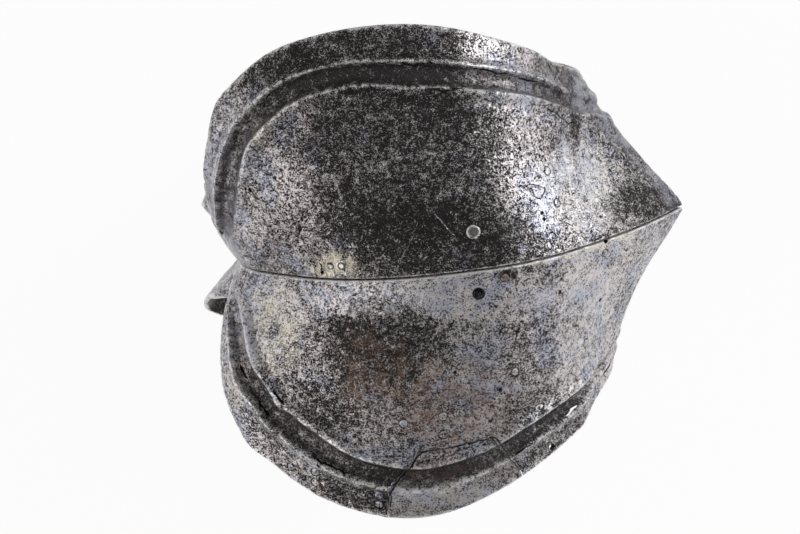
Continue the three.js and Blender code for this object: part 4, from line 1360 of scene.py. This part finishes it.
def ragged_pit(bm, x_px, y_px, radius, depth):
    """A short ragged cone that opens at a pixel of the photograph."""
    hit = sight(x_px, y_px)
    if not hit:
        return
    place, normal = hit
    east = normal.orthogonal().normalized()
    north = normal.cross(east)
    ragged = chance.uniform(*PIT_SWING_SHARES, PIT_SIDES)
    rings = []
    for height, share in ((PIT_LIFT, PIT_MOUTH_SHARE), (0, 1), (-depth * MM, PIT_FLOOR_SHARE)):
        ring = []
        for k in range(PIT_SIDES):
            angle, reach = 2 * math.pi * k / PIT_SIDES, radius * MM * share * ragged[k]
            step = east * (math.cos(angle) * reach) + north * (math.sin(angle) * reach)
            ring.append(bm.verts.new(place + step + normal * height))
        rings.append(ring)
    stitch(bm, rings)


def cutter(name, material, make):
    """A closed mesh of cutters that `make` puts into an empty bmesh."""
    bm = bmesh.new()
    make(bm)
    bmesh.ops.recalc_face_normals(bm, faces=bm.faces)
    mesh = bpy.data.meshes.new(name)
    bm.to_mesh(mesh)
    bm.free()
    mesh.materials.append(material)
    return mesh


# %% Damage the steel
damage = cutter("cracks", broken_steel, lambda bm: [wedge(bm, *c) for c in CRACKS_PX])
pits = cutter("pits", broken_steel, lambda bm: [ragged_pit(bm, *p) for p in PITS_PX])
scratches = cutter("scratches", scratched_steel, lambda bm: [wedge(bm, *c) for c in SCRATCHES_PX])
for tool in (damage, pits, scratches):
    upper_mesh, lower_mesh = boolean(upper_mesh, tool), boolean(lower_mesh, tool)
mend_mesh = boolean(mend_mesh, damage)

# %% [markdown]
# ## Rivets
#
# The heads were countersunk and filed flush, so each shows as a disc in a thin dark ring. Inside
# the cop they end in hammered tails. A rivet is a turned shape, and one row of sizes gives both
# the rivet and, a little larger, the cutter of its hole: the radii of the head, the shank and
# the tail, and the height of the walls that the shank goes through.

# %% Sorts and places of the rivets
HEAD_DEPTH = 0.8 * MM
TWO_WALLS = 2 * WALL + SEAM_GAP
RIVET_SORTS = {
    "twin": (1 * MM, 0.6 * MM, 1.2 * MM, TWO_WALLS),
    "seam": (1.3 * MM, 0.8 * MM, 1.6 * MM, TWO_WALLS),
    "rear": (1.3 * MM, 0.8 * MM, 1.6 * MM, TWO_WALLS + REAR_CLEARANCE),
    "lining": (1.3 * MM, 0.8 * MM, 1.6 * MM, WALL + 0.6 * MM),
    "mend": (1.3 * MM, 0.8 * MM, 1.6 * MM, WALL + SEAM_GAP + MEND_LAP_WALL),
    "plug": (2.3 * MM, 1.6 * MM, 2.7 * MM, WALL),
}
RIVET_PLACE_SHARES = {
    "seam_rivet_near_1": (0.276, 0.06, "twin"), "seam_rivet_near_2": (0.297, 0.06, "twin"),
    "seam_rivet_near_3": (0.683, 0.048, "seam"), "seam_rivet_near_4": (0.814, -0.054, "seam"),
    "seam_rivet_near_5": (0.591, -0.042, "seam"), "seam_rivet_far_1": (1.25, 0.055, "seam"),
    "seam_rivet_far_2": (1.55, 0.055, "seam"), "seam_rivet_far_3": (1.8, 0.055, "seam"),
    "rear_rivet_upper": (0.058, 0.16, "rear"), "rear_rivet_lower": (0.058, -0.16, "rear"),
    "lining_rivet_1": (0.728, 0.32, "lining"), "lining_rivet_2": (0.728, 0.193, "lining"),
    "lining_rivet_3": (0.81, -0.42, "lining"), "lining_rivet_4": (0.198, -0.823, "lining"),
    "lining_rivet_5": (0.203, -0.778, "lining"), "lining_rivet_6": (0.161, -0.761, "lining"),
    "mend_rivet_1": (0.299, -0.883, "mend"), "mend_rivet_2": (0.294, -0.925, "mend"),
    "mend_rivet_3": (0.371, -0.589, "mend"), "mend_rivet_4": (0.448, -0.577, "mend"),
    "mend_rivet_5": (0.443, -0.654, "mend"), "mend_rivet_6": (0.599, -0.439, "mend"),
    "lace_hole_plug": (*CLOSED_HOLE_SHARES, "plug"),
}
print("rivets:", len(RIVET_PLACE_SHARES), "of", len(RIVET_SORTS), "sorts")

# %% Turned shapes
RIVET_CLEARANCE = 0.34 * MM
TAIL_CLEARANCE = 0.2 * MM
TAIL_HEIGHT = 0.9 * MM
REACH = 4 * MM
RIVET_SIDES = 28


def turned(bm, profile, at):
    """A closed shape turned round z, from (radius, height) pairs that start and end on it."""
    ends = [bm.verts.new(at @ Vector((0, 0, z))) for z in (profile[0][1], profile[-1][1])]
    turns = [2 * math.pi * k / RIVET_SIDES for k in range(RIVET_SIDES)]
    rings = []
    for radius, z in profile[1:-1]:
        ring = [at @ Vector((math.cos(t) * radius, math.sin(t) * radius, z)) for t in turns]
        rings.append([bm.verts.new(p) for p in ring])
    for k in range(RIVET_SIDES):
        after = (k + 1) % RIVET_SIDES
        bm.faces.new((ends[0], rings[0][k], rings[0][after]))
        bm.faces.new((ends[1], rings[-1][after], rings[-1][k]))
        for a, b in zip(rings, rings[1:]):
            bm.faces.new((a[k], b[k], b[after], a[after]))


def rivet_profile(head, shank, tail, stack):
    """Outline of a rivet, from the middle of its head to the middle of its tail."""
    under = -stack - TAIL_CLEARANCE
    return [
        (0, HEAD_PROUD * 1.3), (head * 0.55, HEAD_PROUD * 1.2), (head * 0.9, HEAD_PROUD * 0.8),
        (head, 0), (shank, -HEAD_DEPTH), (shank, under), (tail * 0.92, under),
        (tail, under - TAIL_HEIGHT * 0.3), (tail * 0.85, under - TAIL_HEIGHT * 0.7),
        (tail * 0.45, under - TAIL_HEIGHT * 0.95), (0, under - TAIL_HEIGHT),
    ]


def hole_profile(head, shank, stack):
    """Outline of the cutter of a rivet's hole, which leaves a thin ring round the head."""
    head, shank = head + RIVET_CLEARANCE, shank + RIVET_CLEARANCE
    return [
        (0, REACH), (head, REACH), (head, 0), (shank, -HEAD_DEPTH), (shank, -stack - REACH),
        (0, -stack - REACH),
    ]


def seat_on_steel(along, height_share):
    """A seat's place on the weathered steel, and its outward normal, lying."""
    place, normal = seat(along, height_share)
    place, normal = Vector(lying(place)), Vector(turn @ normal)
    hit = steel_tree.ray_cast(place + normal * REACH, -normal)[0]
    return (hit if hit and (hit - place).length < REACH / 2 else place), normal


def stand_at(place, normal):
    """The matrix that takes a turned shape to a seat."""
    return Matrix.Translation(place) @ normal.to_track_quat("Z", "Y").to_matrix().to_4x4()


# %% [markdown]
# The holes go through both plates at once, as they did when the smith punched them. Their sides
# have a darker steel, so that a ring shows round each head. The open lace hole is
# flared, because the lace has worn its edge.

# %% Drill the holes
LACE_HOLE_RADIUS = 1.9 * MM
LACE_FLARE_DEPTH = 0.5 * MM
LACE_FLARE_LIFT = 0.05 * MM
LACE_MOUTH_SHARE = 1.5
LACE_FLARE_SHARE = 1.2
LACE_INNER_SHARE = 0.95
rivet_seats = {name: seat_on_steel(*row[:2]) for name, row in RIVET_PLACE_SHARES.items()}


def drill(bm):
    """Cutters for all rivet holes and the open lace hole."""
    for name, (along, share, sort) in RIVET_PLACE_SHARES.items():
        head, shank, tail, stack = RIVET_SORTS[sort]
        turned(bm, hole_profile(head, shank, stack), stand_at(*rivet_seats[name]))
    radius = LACE_HOLE_RADIUS
    flared = [
        (0, REACH), (radius * LACE_MOUTH_SHARE, REACH),
        (radius * LACE_FLARE_SHARE, LACE_FLARE_LIFT), (radius, -LACE_FLARE_DEPTH),
        (radius * LACE_INNER_SHARE, -REACH), (0, -REACH),
    ]
    turned(bm, flared, stand_at(*seat_on_steel(*OPEN_HOLE_SHARES)))


holes = cutter("holes", broken_steel, drill)
upper_mesh, lower_mesh, mend_mesh = (boolean(m, holes) for m in (upper_mesh, lower_mesh, mend_mesh))

# %% [markdown]
# Rivets of one sort are alike but for the hammer, so Geometry Nodes set copies of one shape on
# the seats, turn each square to the steel and vary its size by a few hundredths.

# %% The rivet nodes


def rivet_tree():
    """Rivets on points, each square to the steel."""
    start, given = new_tree("rivets", [
        ("Places", "Geometry", None), ("Rivet", "Object", None), ("Least Size", "Float", 0.95),
        ("Most Size", "Float", 1.03), ("Seed", "Int", 3), ("Steel", "Material", None),
    ], "Rivets")
    out = stored(start, OUTWARDS, "FLOAT_VECTOR")
    square = start.node("FunctionNodeAlignRotationToVector", {"axis": "Z"}, {"Vector": out})
    sizes = {2: given["Least Size"], 3: given["Most Size"], "Seed": given["Seed"]}
    size = start.node("FunctionNodeRandomValue", {"data_type": "FLOAT"}, sizes, 1)
    rivet = start.node("GeometryNodeObjectInfo", None, {"Object": given["Rivet"]}, "Geometry")
    sets = {"Points": given["Places"], "Instance": rivet, "Rotation": square, "Scale": size}
    instances = start.node("GeometryNodeInstanceOnPoints", None, sets)
    real = start.node("GeometryNodeRealizeInstances", None, {"Geometry": instances})
    start.feed(start.tree.nodes.new("NodeGroupOutput"), {0: with_steel(real, given["Steel"])})
    return start.tree


rivets = rivet_tree()


def set_rivets(sort):
    """One mesh with all rivets of a sort."""
    seats = [rivet_seats[n] for n, row in RIVET_PLACE_SHARES.items() if row[2] == sort]
    places = bpy.data.meshes.new(f"{sort}_places")
    places.from_pydata([tuple(place) for place, normal in seats], [], [])
    give(places, OUTWARDS, "FLOAT_VECTOR", [tuple(normal) for place, normal in seats])
    profile = rivet_profile(*RIVET_SORTS[sort])
    shape = cutter(f"{sort}_rivet", rivet_steel, lambda bm: turned(bm, profile, Matrix()))
    template = placed(shape.name, shape)
    steel = plug_steel if sort == "plug" else rivet_steel
    mesh = grown(f"{sort}_rivets", places, rivets, {"Rivet": template, "Steel": steel})
    bpy.data.objects.remove(template)
    return mesh


# %% [markdown]
# ## Pieces for the CAD nodes
#
# Each finished mesh becomes an object at the origin, rides on the only body and stands for its
# CAD nodes. Cut edges stay sharp, and all else is shaded smooth.

# %% Finish the pieces
SHARP_ANGLE = math.radians(42)


def finish(name, mesh, nodes):
    """A finished piece that rides on the cop and stands for its CAD nodes."""
    mesh.name = name
    mesh.shade_smooth()
    mesh.set_sharp_from_angle(angle=SHARP_ANGLE)
    obj = placed(name, mesh)
    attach(obj, "root")
    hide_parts(*nodes)
    print(name, len(mesh.polygons), "faces for", len(nodes), "nodes")


finish("upper_plate_steel", upper_mesh, ["upper_plate"])
finish("lower_plate_steel", lower_mesh, ["lower_plate"])
finish("rim_mend_steel", mend_mesh, ["rim_mend"])
for sort in RIVET_SORTS:
    nodes = [n for n, row in RIVET_PLACE_SHARES.items() if row[2] == sort]
    finish(f"{sort}_rivets", set_rivets(sort), nodes)

# %% [markdown]
# ## Floor and light
#
# The photograph was cut out on white. The floor is pale paper, and to the camera, and in gloss,
# it glows almost as white as the world behind it, while the steel gets only soft light from it.
# The world is bright at both sides and dark above and in front, as between two large screens,
# and that gives round steel its light rims and dark middle. Two softboxes add the highlights.

# %% The floor
FLOOR_HALF = 4
FLOOR_GLOW_SHARE = 0.95
WHITE = (1, 1, 1, 1)
PAPER = (0.8, 0.8, 0.8, 1)

bpy.context.scene.view_settings.view_transform = "Standard"
floor_mesh = bpy.data.meshes.new("floor")
corners = [(FLOOR_HALF * x, FLOOR_HALF * y, 0) for x, y in ((-1, -1), (1, -1), (1, 1), (-1, 1))]
floor_mesh.from_pydata(corners, [], [(0, 1, 2, 3)])
floor = placed("floor", floor_mesh)
floor_material = bpy.data.materials.new("pale_floor")
floor_material.use_nodes = True
tree = floor_material.node_tree
tree.nodes.clear()
start = Link(tree)


def seen_directly(start):
    """1 for rays from the camera, off gloss or through glass."""
    rays = ("Is Camera Ray", "Is Glossy Ray", "Is Transmission Ray")
    path = [start.node("ShaderNodeLightPath", output=ray) for ray in rays]
    return start.node("ShaderNodeClamp", None, {"Value": path[0] + path[1] + path[2]})


white = start.node("ShaderNodeEmission", None, {"Color": WHITE, "Strength": 1})
paper = start.node("ShaderNodeBsdfDiffuse", None, {"Color": PAPER})
share = seen_directly(start) * FLOOR_GLOW_SHARE
blend = start.node("ShaderNodeMixShader", None, {0: share, 1: paper, 2: white})
start.feed(tree.nodes.new("ShaderNodeOutputMaterial"), {"Surface": blend})
floor_mesh.materials.append(floor_material)
print("floor of", 2 * FLOOR_HALF, "m")

# %% The world
SIDE_LIGHT = 0.8
REST_LIGHT = 0.22
SIDE_SPAN = (0.1, 0.85)

world = bpy.data.worlds.new("studio")
bpy.context.scene.world = world
world.use_nodes = True
start = Link(world.node_tree)
direction = start.node("ShaderNodeTexCoord", output="Generated")
sideways = start.node("ShaderNodeSeparateXYZ", None, {"Vector": direction})
level = (sideways * sideways).ramp(*SIDE_SPAN) * SIDE_LIGHT + REST_LIGHT
backdrop = start.node("ShaderNodeLightPath", output="Is Camera Ray")
level = level * (1 - backdrop) + backdrop
start.feed(world.node_tree.nodes["Background"], {"Color": WHITE, "Strength": level})

# %% The softboxes
SOFTBOX_SIZE = 0.4
SOFTBOXES = {
    "right_softbox": ((0.9, 0.3, 0.7), 7, (0.97, 0.99, 1)),
    "left_softbox": ((-0.85, -0.45, 0.6), 2, (1, 0.95, 0.87)),
}

for name, (place, power, colour) in SOFTBOXES.items():
    lamp = bpy.data.lights.new(name, "AREA")
    lamp.size = SOFTBOX_SIZE
    lamp.energy = power
    lamp.color = colour
    softbox = placed(name, lamp)
    softbox.location = place
    softbox.rotation_euler = (-Vector(place)).to_track_quat("-Z", "Y").to_euler()
    print(name, "of", power, "W")
